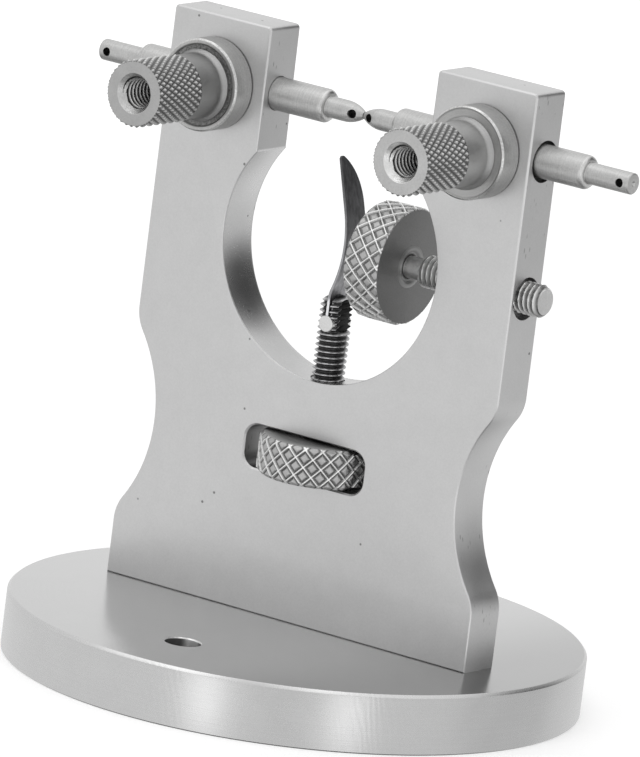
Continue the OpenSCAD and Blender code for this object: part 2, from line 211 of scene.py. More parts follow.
def rounded(corners: Sequence[Pair], radii: Sequence[float], steps: int = 6,
            loop: bool = False) -> Array:
    """Rounds the corners of a path.

    An arc starts and ends at radius / tan(half the corner's angle) from the corner. Its centre lies on
    the bisector at radius / sin(half), and its points turn evenly from one side's normal to the other's.

    Args:
        corners: The path's corners.
        radii: The radius at each corner, 0 where it stays sharp.
        steps: The number of steps in an arc.
        loop: True where the path closes on itself.

    Returns:
        The rounded path, as rows of two coordinates.
    """
    p, rad = np.array(corners, float), np.array(radii, float)[:, None]
    a, b = np.roll(p, 1, 0) - p, np.roll(p, -1, 0) - p
    a /= np.maximum(np.linalg.norm(a, axis=1, keepdims=True), 1e-9)
    b /= np.maximum(np.linalg.norm(b, axis=1, keepdims=True), 1e-9)
    half = np.arccos(np.clip((a * b).sum(1), -1, 1))[:, None] / 2
    middle = a + b
    middle /= np.maximum(np.linalg.norm(middle, axis=1, keepdims=True), 1e-9)
    centre = p + middle * rad / np.maximum(np.sin(half), 1e-9)
    safe = np.maximum(rad, 1e-9)
    first = (p + a * rad / np.maximum(np.tan(half), 1e-9) - centre) / safe
    last = (p + b * rad / np.maximum(np.tan(half), 1e-9) - centre) / safe
    swing = np.maximum(math.pi - 2 * half, 1e-6)
    k = np.linspace(0, 1, steps + 1)[None, :, None]
    arc = (np.sin((1 - k) * swing[:, None]) * first[:, None]
           + np.sin(k * swing[:, None]) * last[:, None]) / np.sin(swing)[:, None]
    path = (centre[:, None] + rad[:, None] * arc).reshape(-1, 2)
    far = np.linalg.norm(np.diff(path, axis=0), axis=1) > 1e-5
    path = path[np.r_[True, far]]
    if loop and np.linalg.norm(path[0] - path[-1]) < 1e-5:
        path = path[:-1]
    return path


def ring_faces(rows: int, steps: int, loop: bool) -> list[Array]:
    """The faces between rings of points, closed round and at the two ends.

    Args:
        rows: The number of rings.
        steps: The number of points in a ring.
        loop: True where the last ring joins the first; otherwise a pole point before the rings and one
            after them close the ends.

    Returns:
        The quads, and the triangles at the poles.
    """
    here = np.arange(rows * steps).reshape(rows, steps) + (0 if loop else 1)
    there = np.roll(here, -1, 1)
    low = slice(None) if loop else slice(None, -1)
    up, up_there = (np.roll(here, -1, 0), np.roll(there, -1, 0)) if loop else (here[1:], there[1:])
    quads = np.stack([here[low], there[low], up_there, up], -1).reshape(-1, 4)
    if loop:
        return [quads]
    first, last = np.zeros(steps, int), np.full(steps, rows * steps + 1)
    fans = [np.stack([first, there[0], here[0]], -1), np.stack([here[-1], there[-1], last], -1)]
    return [quads] + fans


def rings(spindle: Spindle, t: Array, r: Array, steps: int, loop: bool = False,
          painted_shade: Array | float = 0.0) -> Skin:
    """A surface of rings round a spindle.

    The point at row i and angle a lies at distance t(i, a) along the spindle and r(i, a) from it. The
    outside of a piece runs along the spindle's direction.

    Args:
        spindle: The turning axis.
        t: Distance along the axis of each row, as (rows,) or (rows, steps).
        r: Distance from the axis of each row, in the same form. Without loop the first and last rows are 0.
        steps: The number of points round.
        loop: True where the profile closes on itself, as for a piece bored through.
        painted_shade: The painted shade at each point, as (rows, steps) or (rows, 1), or the same for all.

    Returns:
        The closed surface.
    """
    t, r = (v[:, None] if v.ndim == 1 else v for v in (np.asarray(t, float), np.asarray(r, float)))
    t, r, a, painted_shade = np.broadcast_arrays(t, r, angles(steps), painted_shade)
    length = np.r_[0, np.cumsum(np.hypot(np.diff(t[:, 0]), np.diff(r[:, 0])))]
    marks = np.broadcast_to(length[:, None], t.shape)
    # Without loop, the first ring and the last are a single point each.
    kept = slice(None) if loop else slice(steps - 1, 1 - steps)
    faces = ring_faces(len(t) if loop else len(t) - 2, steps, loop)
    return Skin(spindle.place(t, r, a).reshape(-1, 3)[kept], faces, marks.reshape(-1)[kept],
                painted_shade.reshape(-1)[kept])


def turned(spindle: Spindle, profile: Array, steps: int = 128, loop: bool = False,
           painted_shade: Array | float = 0.0) -> Skin:
    """A turned surface: the profile's (t, r) points carried round the spindle, each with its painted shade.
    """
    painted_shade = painted_shade[:, None] if isinstance(painted_shade, np.ndarray) else painted_shade
    return rings(spindle, profile[:, 0], profile[:, 1], steps, loop, painted_shade)


def stepped_bore(spindle: Spindle, bore: Sequence[Pair], steps: int = 96) -> Skin:
    """A cutter for a bore whose radius changes along it.

    Args:
        spindle: The bore's axis.
        bore: The (t, r) corners of its wall, with t rising.
        steps: The number of points round.

    Returns:
        The closed cutter, with a flat end at each end of the wall.
    """
    wall = np.array(bore, float)
    ends = wall[[0, -1]] * [1, 0]
    return turned(spindle, np.vstack([ends[:1], wall, ends[1:]]), steps)


def block(low: Point, high: Point) -> Skin:
    """A cutter with six flat sides between two corners."""
    lo, hi = np.array(low, float), np.array(high, float)
    pick = np.array([[0, 0, 0], [1, 0, 0], [1, 1, 0], [0, 1, 0], [0, 0, 1], [1, 0, 1], [1, 1, 1], [0, 1, 1]])
    faces = np.array([[0, 3, 2, 1], [4, 5, 6, 7], [0, 1, 5, 4], [1, 2, 6, 5], [2, 3, 7, 6], [3, 0, 4, 7]])
    return Skin(lo + pick * (hi - lo), [faces], np.zeros(8), np.zeros(8))


def sections(points: Array) -> Skin:
    """A surface through closed sections, each a ring of points, with a flat face at each end.

    Args:
        points: The sections, as (rows, points round, 3), from the first end to the last. The points of a
            section turn so that its direction crossed with the rows' direction points outwards.

    Returns:
        The closed surface.
    """
    rows, steps = points.shape[:2]
    here = np.arange(rows * steps).reshape(rows, steps)
    there = np.roll(here, -1, 1)
    sides = np.stack([here[:-1], there[:-1], there[1:], here[1:]], -1).reshape(-1, 4)
    length = np.linalg.norm(np.diff(points.mean(1), axis=0), axis=1)
    marks = np.repeat(np.r_[0, np.cumsum(length)], steps)
    return Skin(points.reshape(-1, 3), [sides, here[:1, ::-1], here[-1:]], marks, 0 * marks)


def thread_drop(t: Array, a: Array) -> Array:
    """How far the right-hand thread lies below its crest.

    The phase is t / pitch - a / turn. Its distance from the root's middle rises from 0 to 1 at the crest's
    middle; the root is flat below a quarter, the crest above seven eighths, and the flank runs between.

    Args:
        t: Distances along the screw.
        a: Angles round it.

    Returns:
        The drop, from 0 at the crest to the thread's depth at the root.
    """
    phase = (t / PITCH - a / TURN) % 1
    climb = np.abs(phase - 0.5) * 2
    return THREAD_DEPTH * (1 - np.clip((climb - 0.25) / 0.625, 0, 1))


def screw_rod(spindle: Spindle, start: float, end: float, limit: Callable[[Array], Array],
              steps: int) -> Skin:
    """A threaded rod with formed ends.

    The radius at (t, a) is the smaller of the thread's and the limit's, so the ends run out as cut. Rows
    that close up towards each end follow the limit there.

    Args:
        spindle: The rod's axis.
        start: Where the rod starts on the axis.
        end: Where it ends.
        limit: The largest radius at each t.
        steps: The number of points round.

    Returns:
        The closed rod.
    """
    even = np.linspace(start, end, round((end - start) / PITCH * THREAD_ROWS) + 1)
    fine = np.linspace(0, 1, 9)[1:-1] ** 2 * PITCH * 0.5
    t = np.unique(np.r_[even, start + fine, end - fine])
    t = t[np.r_[True, np.diff(t) > 1e-4]][:, None]
    drop = thread_drop(t, angles(steps))
    r = np.minimum(THREAD_R - drop, limit(t))
    t, r = np.vstack([t[:1], t, t[-1:]]), np.vstack([0 * r[:1], r, 0 * r[-1:]])
    # Painted shade down each flank into the root, and on the flat ends.
    painted_shade = np.pad(drop / THREAD_DEPTH, ((1, 1), (0, 0)), "edge")
    painted_shade[[0, 1, -2, -1]] = END_SHADE
    return rings(spindle, t, r, steps, painted_shade=painted_shade)


class Weave(Enum):
    """The two knurls on the tool: thin ridges round cells with a low middle, and cut grooves round points."""

    NET = "net"
    POINTS = "points"


@dataclass(frozen=True)
class Knurl:
    """A crossed knurl.

    Attributes:
        weave: Which of the two knurls it is.
        starts: The number of ridges or grooves of one hand round the piece.
        rise: The length along the axis in which a ridge moves on by one cell.
        depth: The knurl's depth.
        land: The share of half a cell that the flat of a ridge or point takes.
        floor: The share of half a cell at which a net is deepest or the full point is reached.
        rest: How far down a net's cells lie in their middle, as a share of the depth.
        root_grime_and_shade: How dark the deepest places are, with dirt and painted shade.
    """

    weave: Weave
    starts: int
    rise: float
    depth: float
    land: float
    floor: float
    rest: float = 0.4
    root_grime_and_shade: float = 1.0

    def drop(self, t: Array, a: Array) -> Array:
        """How far the knurl lies below the piece's outer radius.

        The two hands are the phases starts a / turn + t / rise and starts a / turn - t / rise. Each gives
        its distance from the nearest whole number, doubled, and the lesser of the two says how far a
        point is from the lines. A net sinks with that distance and rises again to the cell's middle, and
        points only rise.

        Args:
            t: Distances along the piece.
            a: Angles round it.

        Returns:
            The drop at each place.
        """
        across, along = self.starts * a / TURN, t / self.rise
        away = np.minimum(*(1 - np.abs(2 * (hand % 1) - 1) for hand in (across + along, across - along)))
        if self.weave is Weave.NET:
            places = [self.land, self.floor, self.floor + 0.08, self.floor + 0.3, 1]
            return self.depth * np.interp(away, places, [0, 1, 1, self.rest + 0.05, self.rest])
        return self.depth * (1 - np.clip((away - self.land) / (self.floor - self.land), 0, 1))

    def grime_and_shade(self, drop: Array) -> Array:
        """The dirt and painted shade at each place: a net darkens soon off its ridges, which take a painted
        highlight, and points evenly into the grooves.
        """
        share = drop / self.depth
        if self.weave is Weave.NET:
            return np.interp(share, NET_SHARES, (*NET_GRIME_AND_SHADE, self.root_grime_and_shade))
        return share ** GROOVE_GRIME_AND_SHADE


def placed(name: str, data: bpy.types.ID) -> bpy.types.Object:
    """Makes an object in the scene.

    Args:
        name: Its name.
        data: Its mesh, lamp or camera.

    Returns:
        The object.
    """
    made = bpy.data.objects.new(name, data)
    bpy.context.scene.collection.objects.link(made)
    return made


def solid(name: str, skin: Skin, crease: float = CREASE) -> bpy.types.Object:
    """Makes the object of a surface.

    Args:
        name: The piece's name.
        skin: Its surface, in millimetres.
        crease: The angle in degrees above which an edge shows sharp.

    Returns:
        The object, at the origin and with its place in its mesh.
    """
    mesh = bpy.data.meshes.new(name)
    mesh.from_pydata((skin.points * MM).tolist(), [], [f for part in skin.faces for f in part.tolist()])
    for word, values in (("marks", skin.marks), ("painted_shade", skin.painted_shade)):
        kept = mesh.attributes.new(word, "FLOAT", "POINT")
        kept.data.foreach_set("value", np.ascontiguousarray(values, np.float32))
    mesh.update()
    piece = placed(name, mesh)
    smooth(piece, crease)
    return piece


def smooth(piece: bpy.types.Object, crease: float) -> None:
    """Shades a piece smooth, with its edges sharp above the crease angle in degrees."""
    piece.data.shade_smooth()
    piece.data.set_sharp_from_angle(angle=math.radians(crease))


def carve(piece: bpy.types.Object, cutters: Sequence[Skin], solver: Solver = Solver.PLAIN,
          crease: float = CREASE) -> None:
    """Cuts closed surfaces out of a piece, one after another.

    Args:
        piece: The piece, whose mesh is replaced by the cut one.
        cutters: The surfaces that bound what is cut away.
        solver: The way that the cuts are worked out.
        crease: The angle in degrees above which an edge shows sharp.
    """
    tools = [solid("cutter", skin) for skin in cutters]
    for tool in tools:
        cut = piece.modifiers.new("cut", "BOOLEAN")
        cut.object, cut.operation, cut.solver = tool, "DIFFERENCE", solver.value
    view = bpy.context.evaluated_depsgraph_get()
    mesh = bpy.data.meshes.new_from_object(piece.evaluated_get(view))
    piece.modifiers.clear()
    old, piece.data = piece.data, mesh
    bpy.data.meshes.remove(old)
    mesh.name = piece.name
    # An object goes with its mesh.
    for tool in tools:
        bpy.data.meshes.remove(tool.data)
    smooth(piece, crease)


def _operator(operation: str, swapped: bool = False) -> Callable[["Wire", "Wire | float"], "Wire"]:
    """Makes an operator of Wire.

    Args:
        operation: The operation of the Math node that it adds.
        swapped: True where the other value comes first, as for a number on the left.

    Returns:
        The method, from a wire and another wire or a number to the node's output.
    """

    def apply(self: "Wire", other: "Wire | float") -> "Wire":
        """Adds the Math node."""
        values = (other, self) if swapped else (self, other)
        return self.graph.node("ShaderNodeMath", {"operation": operation}, dict(enumerate(values)))

    return apply


class Wire:
    """One output of a shader node, with arithmetic that adds Math nodes."""

    __add__, __radd__ = _operator("ADD"), _operator("ADD", True)
    __sub__, __rsub__ = _operator("SUBTRACT"), _operator("SUBTRACT", True)
    __mul__, __rmul__ = _operator("MULTIPLY"), _operator("MULTIPLY", True)
    __pow__ = _operator("POWER")
    smaller, larger = _operator("MINIMUM"), _operator("MAXIMUM")

    def __init__(self, graph: "Graph", socket: bpy.types.NodeSocket) -> None:
        """Keeps the graph that the socket belongs to."""
        self.graph, self.socket = graph, socket

    def size(self) -> "Wire":
        """This without its sign."""
        return self.graph.node("ShaderNodeMath", {"operation": "ABSOLUTE"}, {0: self})

    def ramp(self, span: Point) -> "Wire":
        """The smooth step between a span's first two numbers, times its third."""
        return self.between(*span[:2]) * span[2]

    def inside(self, edge: float, width: float = 0.1) -> "Wire":
        """A smooth step down, from 1 at an edge to 0 past the width."""
        return 1 - self.between(edge, edge + width)

    def between(self, low: float, high: float) -> "Wire":
        """A smooth step from 0 where this is low to 1 where it is high."""
        settings = {"interpolation_type": "SMOOTHSTEP", "data_type": "FLOAT"}
        inputs = {"Value": self, "From Min": low, "From Max": high, "To Min": 0.0, "To Max": 1.0}
        return self.graph.node("ShaderNodeMapRange", settings, inputs)


class Graph:
    """A material's or world's nodes."""

    def __init__(self, owner: bpy.types.Material | bpy.types.World) -> None:
        """Starts with an empty tree."""
        owner.use_nodes = True
        self.tree = owner.node_tree
        self.tree.nodes.clear()

    def node(self, kind: str, settings: dict[str, object], inputs: dict[int | str, object],
             output: int | str = 0) -> Wire:
        """Adds a node.

        Args:
            kind: The node's type.
            settings: Its properties, which are set first.
            inputs: The value or wire of each named or numbered input.
            output: The output to go on with.

        Returns:
            That output.
        """
        node = self.tree.nodes.new(kind)
        for name, value in settings.items():
            setattr(node, name, value)
        for name, value in inputs.items():
            if isinstance(value, Wire):
                self.tree.links.new(value.socket, node.inputs[name])
            else:
                node.inputs[name].default_value = value
        return Wire(self, node.outputs[output])

    def place(self) -> Wire:
        """The place on the piece, in millimetres."""
        here = self.node("ShaderNodeTexCoord", {}, {}, "Object")
        return self.stretch(here, (1 / MM, 1 / MM, 1 / MM))

    def stretch(self, vector: Wire, factors: Point) -> Wire:
        """A vector with each coordinate times its factor."""
        return self.node("ShaderNodeVectorMath", {"operation": "MULTIPLY"}, {0: vector, 1: factors})

    def coordinate(self, vector: Wire, axis: str) -> Wire:
        """One coordinate of a vector."""
        return self.node("ShaderNodeSeparateXYZ", {}, {0: vector}, axis)

    def facing(self, axis: str, kind: str = "Normal") -> Wire:
        """One coordinate of the direction that the surface faces, of its smoothed or its true normal."""
        return self.coordinate(self.node("ShaderNodeNewGeometry", {}, {}, kind), axis)

    def noise(self, vector: Wire, scale: float, detail: float = 2, rough: float = 0.5) -> Wire:
        """Noise in space, from 0 to 1."""
        settings = {"noise_dimensions": "3D"}
        inputs = {"Vector": vector, "Scale": scale, "Detail": detail, "Roughness": rough}
        return self.node("ShaderNodeTexNoise", settings, inputs, "Fac")

    def kept(self, word: str) -> Wire:
        """A number kept at the piece's points, by its name."""
        return self.node("ShaderNodeAttribute", {"attribute_name": word}, {}, "Fac")

    def tool_marks(self, scale: float) -> Wire:
        """Noise along the turned profile, so that it runs in rings."""
        inputs = {"W": self.kept("marks"), "Scale": scale, "Detail": 3.0, "Roughness": 0.6}
        return self.node("ShaderNodeTexNoise", {"noise_dimensions": "1D"}, inputs, "Fac")

    def tint(self, colour: Sequence[float], shade: Wire) -> Wire:
        """A colour made lighter or darker by a grey factor."""
        grey = self.node("ShaderNodeCombineColor", {}, {0: shade, 1: shade, 2: shade})
        settings = {"data_type": "RGBA", "blend_type": "MULTIPLY"}
        return self.node("ShaderNodeMix", settings, {0: 1.0, 6: (*colour, 1.0), 7: grey}, 2)

    def bump(self, height: Wire, depth: float, under: Wire | None = None) -> Wire:
        """A bump of a depth in millimetres, over another bump's normal where one is given."""
        inputs: dict[int | str, object] = {"Height": height, "Distance": depth * MM, "Strength": 1.0}
        if under is not None:
            inputs["Normal"] = under
        return self.node("ShaderNodeBump", {}, inputs)

    def metal(self, colour: Wire, rough: Wire, normal: Wire) -> None:
        """Ends the graph in a metal shader."""
        inputs = {"Base Color": colour, "Roughness": rough, "Normal": normal, "Metallic": 1.0}
        self.end(self.node("ShaderNodeBsdfPrincipled", {}, inputs))

    def end(self, shader: Wire, kind: str = "ShaderNodeOutputMaterial") -> None:
        """Joins a shader to the output of the material or the world."""
        self.tree.links.new(shader.socket, self.tree.nodes.new(kind).inputs["Surface"])


@dataclass(frozen=True)
class Finish:
    """A steel finish.

    Attributes:
        coat: The finish that it is.
        colour: The metal's colour.
        rough: Its roughness.
        rough_swing: How far the roughness wanders.
        mottle: How far the colour wanders over a few millimetres.
        grain: The depth of its fine grain.
        rings: The depth of its tool marks, 0 where it isn't turned.
        ring_scale: The number of tool marks to a millimetre.
        sunk: How much darker a place is where the skin's painted shade is 1 than where it is 0.
        speckle: How unevenly the grain darkens it there.
    """

    coat: Coat
    colour: Point
    rough: float
    rough_swing: float = 0.08
    mottle: float = 0.08
    grain: float = 0.002
    rings: float = 0.0
    ring_scale: float = 6.0
    sunk: float = 0.0
    speckle: float = 0.25

    def surface(self, graph: Graph) -> tuple[Wire, Wire, Wire]:
        """The grey factor, roughness and normal of the finish, from noise in space and along the profile."""
        here = graph.place()
        cloud, grain = graph.noise(here, *CLOUD), graph.noise(here, *GRAIN)
        shade = 1 + self.mottle * (cloud - 0.5) + self.mottle * 1.6 * (grain - 0.5)
        rough = self.rough + self.rough_swing * (cloud - 0.5) + self.rough_swing * (grain - 0.5)
        normal = graph.bump(grain, self.grain)
        if self.rings:
            marks = graph.tool_marks(self.ring_scale)
            normal = graph.bump(marks, self.rings, normal)
            shade = shade + self.mottle * (marks - 0.5)
        if self.sunk:
            # The skin's painted shade, with the dirt in a knurl's grooves; below 0 it is a painted highlight.
            painted_shade = graph.kept("painted_shade") * (1 - self.speckle / 2 + self.speckle * grain)
            shade, rough = shade * (1 - self.sunk * painted_shade), rough + 0.2 * painted_shade
        return shade, rough, normal

    def material(self) -> bpy.types.Material:
        """Builds the finish's material."""
        made = bpy.data.materials.new(self.coat.value)
        graph = Graph(made)
        shade, rough, normal = self.surface(graph)
        graph.metal(graph.tint(self.colour, shade), rough, normal)
        return made


def around(graph: Graph, here: Wire, axes: tuple[str, str], zero: Pair) -> Wire:
    """The distance from a line along the third axis, as the root of the two squares' sum."""
    first, second = (graph.coordinate(here, axis) - at for axis, at in zip(axes, zero))
    return (first * first + second * second) ** 0.5


def specks(graph: Graph, here: Wire, scale: float, size: float) -> Wire:
    """Small specks, 1 inside: a cell's distance from its point, below the size times the cells' width."""
    settings = {"voronoi_dimensions": "3D", "feature": "F1"}
    near = graph.node("ShaderNodeTexVoronoi", settings, {"Vector": here, "Scale": scale, "Randomness": 1.0},
                      "Distance")
    return 1 - near.between(size, size * 2)


@dataclass(frozen=True)
class SatinPlate(Finish):
    """The satin plating of the upright plate: a fine even grain, faint clouds and a few dark specks.

    Attributes:
        bore_r: The radius up to which the turned wall reaches.
        inner_y: How far from the plate's middle the walls of its openings reach.
        side: The smoothed normal's X between which a surface counts as a side.
        window: The half length, lowest and highest place of the window.
        window_dark: The painted shade on the window's ends, and how much more on its floor and roof.
        hole_r: The radius within which the walls of the crosswise bores lie.
        hole_x: Where their walls start and end, from the plate's middle.
        hole_dark: The painted shade in them.
        pits: The scale, size and darkness of the pits on the sides.
        specks: The same of the specks all over.
        side_fade: Between which heights painted shade darkens the sides upwards, and by how much.
        face_fade: The same painted shade on the faces.
        wall_fade: Between which heights painted light brightens the turned wall upwards, and by how much.
        wall_dark: The painted shade on it below them.
    """

    bore_r: float = 15.72
    inner_y: float = 2.7
    side: Pair = (0.9, 0.99)
    window: Point = (9.2, 24.3, 30.3)
    window_dark: Pair = (0.3, 0.55)
    hole_r: float = 2.95
    hole_x: Pair = (17.0, 26.4)
    hole_dark: float = 0.55
    pits: Point = (1.1, 0.12, 0.4)
    specks: Point = (0.24, 0.026, 0.65)
    side_fade: Point = (47.0, 60.0, 0.1)
    face_fade: Point = (66.0, 76.0, 0.05)
    wall_fade: Point = (45.0, 66.0, 0.33)
    wall_dark: float = 0.16

    def surface(self, graph: Graph) -> tuple[Wire, Wire, Wire]:
        """The plain finish, smoother in the opening, duller and pitted on the sides, with painted shade in
        the window and the bores, rising towards the top on the sides and faces, and painted light and shade
        on the opening's wall.
        """
        shade, rough, normal = super().surface(graph)
        here = graph.place()
        across, up = graph.coordinate(here, "X").size(), graph.coordinate(here, "Z")
        inner = graph.coordinate(here, "Y").size().inside(self.inner_y)
        opening = around(graph, here, ("X", "Z"), (0, OPENING_Z)).inside(self.bore_r, 0.15) * inner
        side = graph.facing("X").size().between(*self.side) * (1 - opening)
        half, low, high = self.window
        ends, more = self.window_dark
        # Painted shade in the window, more on its floor and roof.
        slot = across.inside(half) * up.between(low, low + 0.1) * up.inside(high) * inner
        slot = slot * (ends + more * graph.facing("Z").size())
        # Painted shade in the crosswise bores.
        start, stop = self.hole_x
        bored = 0.0
        for z in (RUNNER_Z, ADJUST_Z):
            near = around(graph, here, ("Y", "Z"), (0.0, z)).inside(self.hole_r, 0.05)
            bored = near * across.inside(stop) * across.between(start, start + 0.1) * inner + bored
        pits = specks(graph, graph.stretch(here, (1.0, 1.6, 0.5)), *self.pits[:2]) * side
        pits = pits * graph.noise(here, 0.16, 2).between(0.52, 0.62)
        speck = specks(graph, here, *self.specks[:2])
        # Painted shade that rises towards the top on the sides and on the faces.
        fade = side * up.ramp(self.side_fade) + (1 - side) * (1 - opening) * up.ramp(self.face_fade)
        shade = shade * (1 - self.specks[2] * speck) * (1 - fade) * (1 - self.pits[2] * pits) * (1 - slot)
        shade = shade * (1 - self.hole_dark * bored.smaller(1.0))
        # Painted light and shade on the opening's turned wall: lighter upwards, darker below.
        wall = opening * (up.ramp(self.wall_fade) - self.wall_dark)
        return shade * (1 + wall), rough - 0.12 * opening + 0.08 * side, normal


@dataclass(frozen=True)
class TurnedBase(Finish):
    """The base's finish: its faces turned smoother than its side, and darkened by painted shade.

    Attributes:
        top: The smoothed normal's Z between which a surface counts as a face.
        top_dark: The painted shade on a face.
        right_x: Between which places along X painted shade darkens the base to the right.
        right_dark: How much painted shade it takes there, and how much more on a face.
        hole_r: The radius within which the bench holes' walls lie.
        hole_x: How far from their middle the painted reflection down their walls starts and ends.
        hole_dark: The painted shade on their walls.
        hole_reflection: How much lighter the painted reflection makes them.
    """

    top: Pair = (0.8, 0.98)
    top_dark: float = 0.12
    right_x: Pair = (8.0, 28.0)
    right_dark: Pair = (0.06, 0.2)
    hole_r: float = 2.17
    hole_x: Pair = (0.5, 1.5)
    hole_dark: float = 0.72
    hole_reflection: float = 1.2

    def surface(self, graph: Graph) -> tuple[Wire, Wire, Wire]:
        """The plain finish with chatter marks on the side, painted shade on the faces, to the right and in
        the holes, and a painted reflection down the holes' middle.
        """
        shade, rough, normal = super().surface(graph)
        here = graph.place()
        across = graph.coordinate(here, "X")
        top = graph.facing("Z").size().between(*self.top)
        low = graph.stretch(here, (1.0, 1.0, 0.35))
        waves = graph.node("ShaderNodeTexWave", {"wave_type": "BANDS", "bands_direction": "DIAGONAL"},
                           {"Vector": low, "Scale": 0.55, "Distortion": 6.0, "Detail": 2.0}, "Fac")
        chatter = (1 - top) * graph.noise(low, 0.06, 2).between(0.45, 0.6)
        normal = graph.bump(waves * chatter, 0.004, normal)
        # Painted shade on the faces and towards the right.
        right, (side, more) = across.between(*self.right_x), self.right_dark
        shade = shade * (1 - self.top_dark * top) * (1 - side * right - more * right * top)
        # Painted shade in the bench holes, with a painted reflection down their middle.
        first, second = (around(graph, here, ("X", "Y"), (0, y)) for y in (-BENCH_Y, BENCH_Y))
        hole = first.smaller(second).inside(self.hole_r, 0.03)
        middle = 1 - across.size().between(*self.hole_x)
        shade = shade * (1 - (self.hole_dark - self.hole_reflection * middle) * hole)
        return shade, rough - 0.08 * top + 0.25 * hole, normal


@dataclass(frozen=True)
class BlackPost(Finish):
    """The post's blackened thread, whose crests are rubbed bright, whose flanks and roots are darkened by the
    blackening and by painted shade, and whose flat stays black.

    Attributes:
        flat_z: The flat's least height.
        flat: The true normal's X between which a surface counts as the flat.
        flat_dark: How dark the flat is.
        least: The least that the shade falls to.
    """

    flat_z: float = 43.0
    flat: Pair = (0.9, 0.98)
    flat_dark: float = 0.97
    least: float = 0.02

    def surface(self, graph: Graph) -> tuple[Wire, Wire, Wire]:
        """The plain finish, black on the flat."""
        shade, rough, normal = super().surface(graph)
        up = graph.coordinate(graph.place(), "Z")
        flat = graph.facing("X", "True Normal").between(*self.flat)
        flat = flat * up.between(self.flat_z - 0.1, self.flat_z)
        return (shade * (1 - self.flat_dark * flat)).larger(self.least), rough + 0.3 * flat, normal


@dataclass(frozen=True)
class SpringStrip(Finish):
    """The blade's blued faces, with a painted highlight at the bend, and its edge rubbed bright where it
    enters the post.

    Attributes:
        edge_y: The plane in front of which the edge lies.
        edge_z: The height below which the edge is bright.
        edge_gain: How much lighter the edge is there.
        bend: The heights between which the faces turn from the painted highlight at the bend to their plain
            tone.
        bend_gain: How much lighter the painted highlight makes the faces at the bend.
        streak_gain: How much the streaks lighten and darken the faces.
        least: The least that the shade falls to.
    """

    edge_y: float = -1.86
    edge_z: float = 46.4
    edge_gain: float = 6.0
    bend: Pair = (52.0, 62.0)
    bend_gain: float = 2.8
    streak_gain: float = 2.4
    least: float = 0.2

    def surface(self, graph: Graph) -> tuple[Wire, Wire, Wire]:
        """The plain finish with lengthwise streaks, a painted highlight at the bend and a bright low edge."""
        shade, rough, normal = super().surface(graph)
        here = graph.place()
        up = graph.coordinate(here, "Z")
        edge = graph.coordinate(here, "Y").inside(self.edge_y - 0.02, 0.04) * up.inside(self.edge_z, 0.8)
        bend = 1 - up.between(*self.bend)
        streaks = graph.noise(graph.stretch(here, (1.0, 1.0, 0.25)), 2.2, 4, 0.65)
        # The edge's wear, the painted highlight at the bend, and the streaks.
        wear_and_highlight = self.edge_gain * edge + self.bend_gain * bend * (0.3 + 1.4 * streaks)
        wear_and_highlight = wear_and_highlight + self.streak_gain * (streaks - 0.36)
        return (shade + wear_and_highlight).larger(self.least), rough + 0.1 * bend, normal


FINISHES = [
    SatinPlate(Coat.PLATE, (0.66, 0.66, 0.66), rough=0.38, rough_swing=0.06, mottle=0.1, grain=0.004),
    TurnedBase(Coat.BASE, (0.62, 0.62, 0.62), rough=0.27, rough_swing=0.06, mottle=0.09, rings=0.004,
               ring_scale=5.0),
    Finish(Coat.RUNNER, (0.56, 0.56, 0.555), rough=0.4, rough_swing=0.16, mottle=0.3, grain=0.022,
           rings=0.003, ring_scale=5.0, sunk=0.9),
    Finish(Coat.PIN, (0.74, 0.74, 0.735), rough=0.28, rough_swing=0.1, mottle=0.16, grain=0.008),
    Finish(Coat.COLLAR, (0.5, 0.5, 0.495), rough=0.38, rough_swing=0.12, mottle=0.36, grain=0.02,
           rings=0.004, ring_scale=5.0, sunk=0.75, speckle=2.2),
    # Knurled and threaded steel is lighter than steel, so that crests and ridges show a painted highlight;
    # the painted shade brings faces, flanks and roots down.
    Finish(Coat.KNURLED, (0.86, 0.86, 0.855), rough=0.3, rough_swing=0.12, mottle=0.3, grain=0.03, sunk=0.82),
    Finish(Coat.THREAD, (0.86, 0.86, 0.855), rough=0.3, rough_swing=0.1, mottle=0.3, grain=0.02, sunk=0.7),
    BlackPost(Coat.BLACK, (0.56, 0.56, 0.565), rough=0.28, rough_swing=0.1, mottle=0.3, grain=0.006,
              sunk=0.9),
    SpringStrip(Coat.SPRING, (0.095, 0.095, 0.098), rough=0.36, rough_swing=0.1, mottle=0.3, grain=0.004),
]


@dataclass
class Made:
    """A made piece, the body that it rides on, the nodes that it stands for, its slot and its finish."""

    piece: bpy.types.Object
    body: str
    nodes: tuple[str, ...]
    slot: Slot
    coat: Coat


@dataclass
class SubAssembly:
    """What every sub-assembly keeps: the pieces that it has made."""

    made: list[Made] = field(default_factory=list, init=False)

    def add(self, piece: bpy.types.Object, body: str, slot: Slot, coat: Coat, *nodes: str) -> None:
        """Keeps a made piece for dressing."""
        self.made.append(Made(piece, body, nodes, slot, coat))

    def build(self) -> None:
        """Makes the pieces."""
        raise NotImplementedError

    def dress(self, materials: dict[Coat, bpy.types.Material]) -> None:
        """Finishes each piece, puts it on its body and hides what it replaces.

        Args:
            materials: The material of each finish.
        """
        for made in self.made:
            made.piece.data.materials.clear()
            made.piece.data.materials.append(materials[made.coat])
            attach(made.piece, made.body)
            if made.nodes:
                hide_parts(*made.nodes)
            made.piece.data.calc_loop_triangles()
            LOG.info("%s on %s: %d triangles", made.piece.name, made.body,
                     len(made.piece.data.loop_triangles))


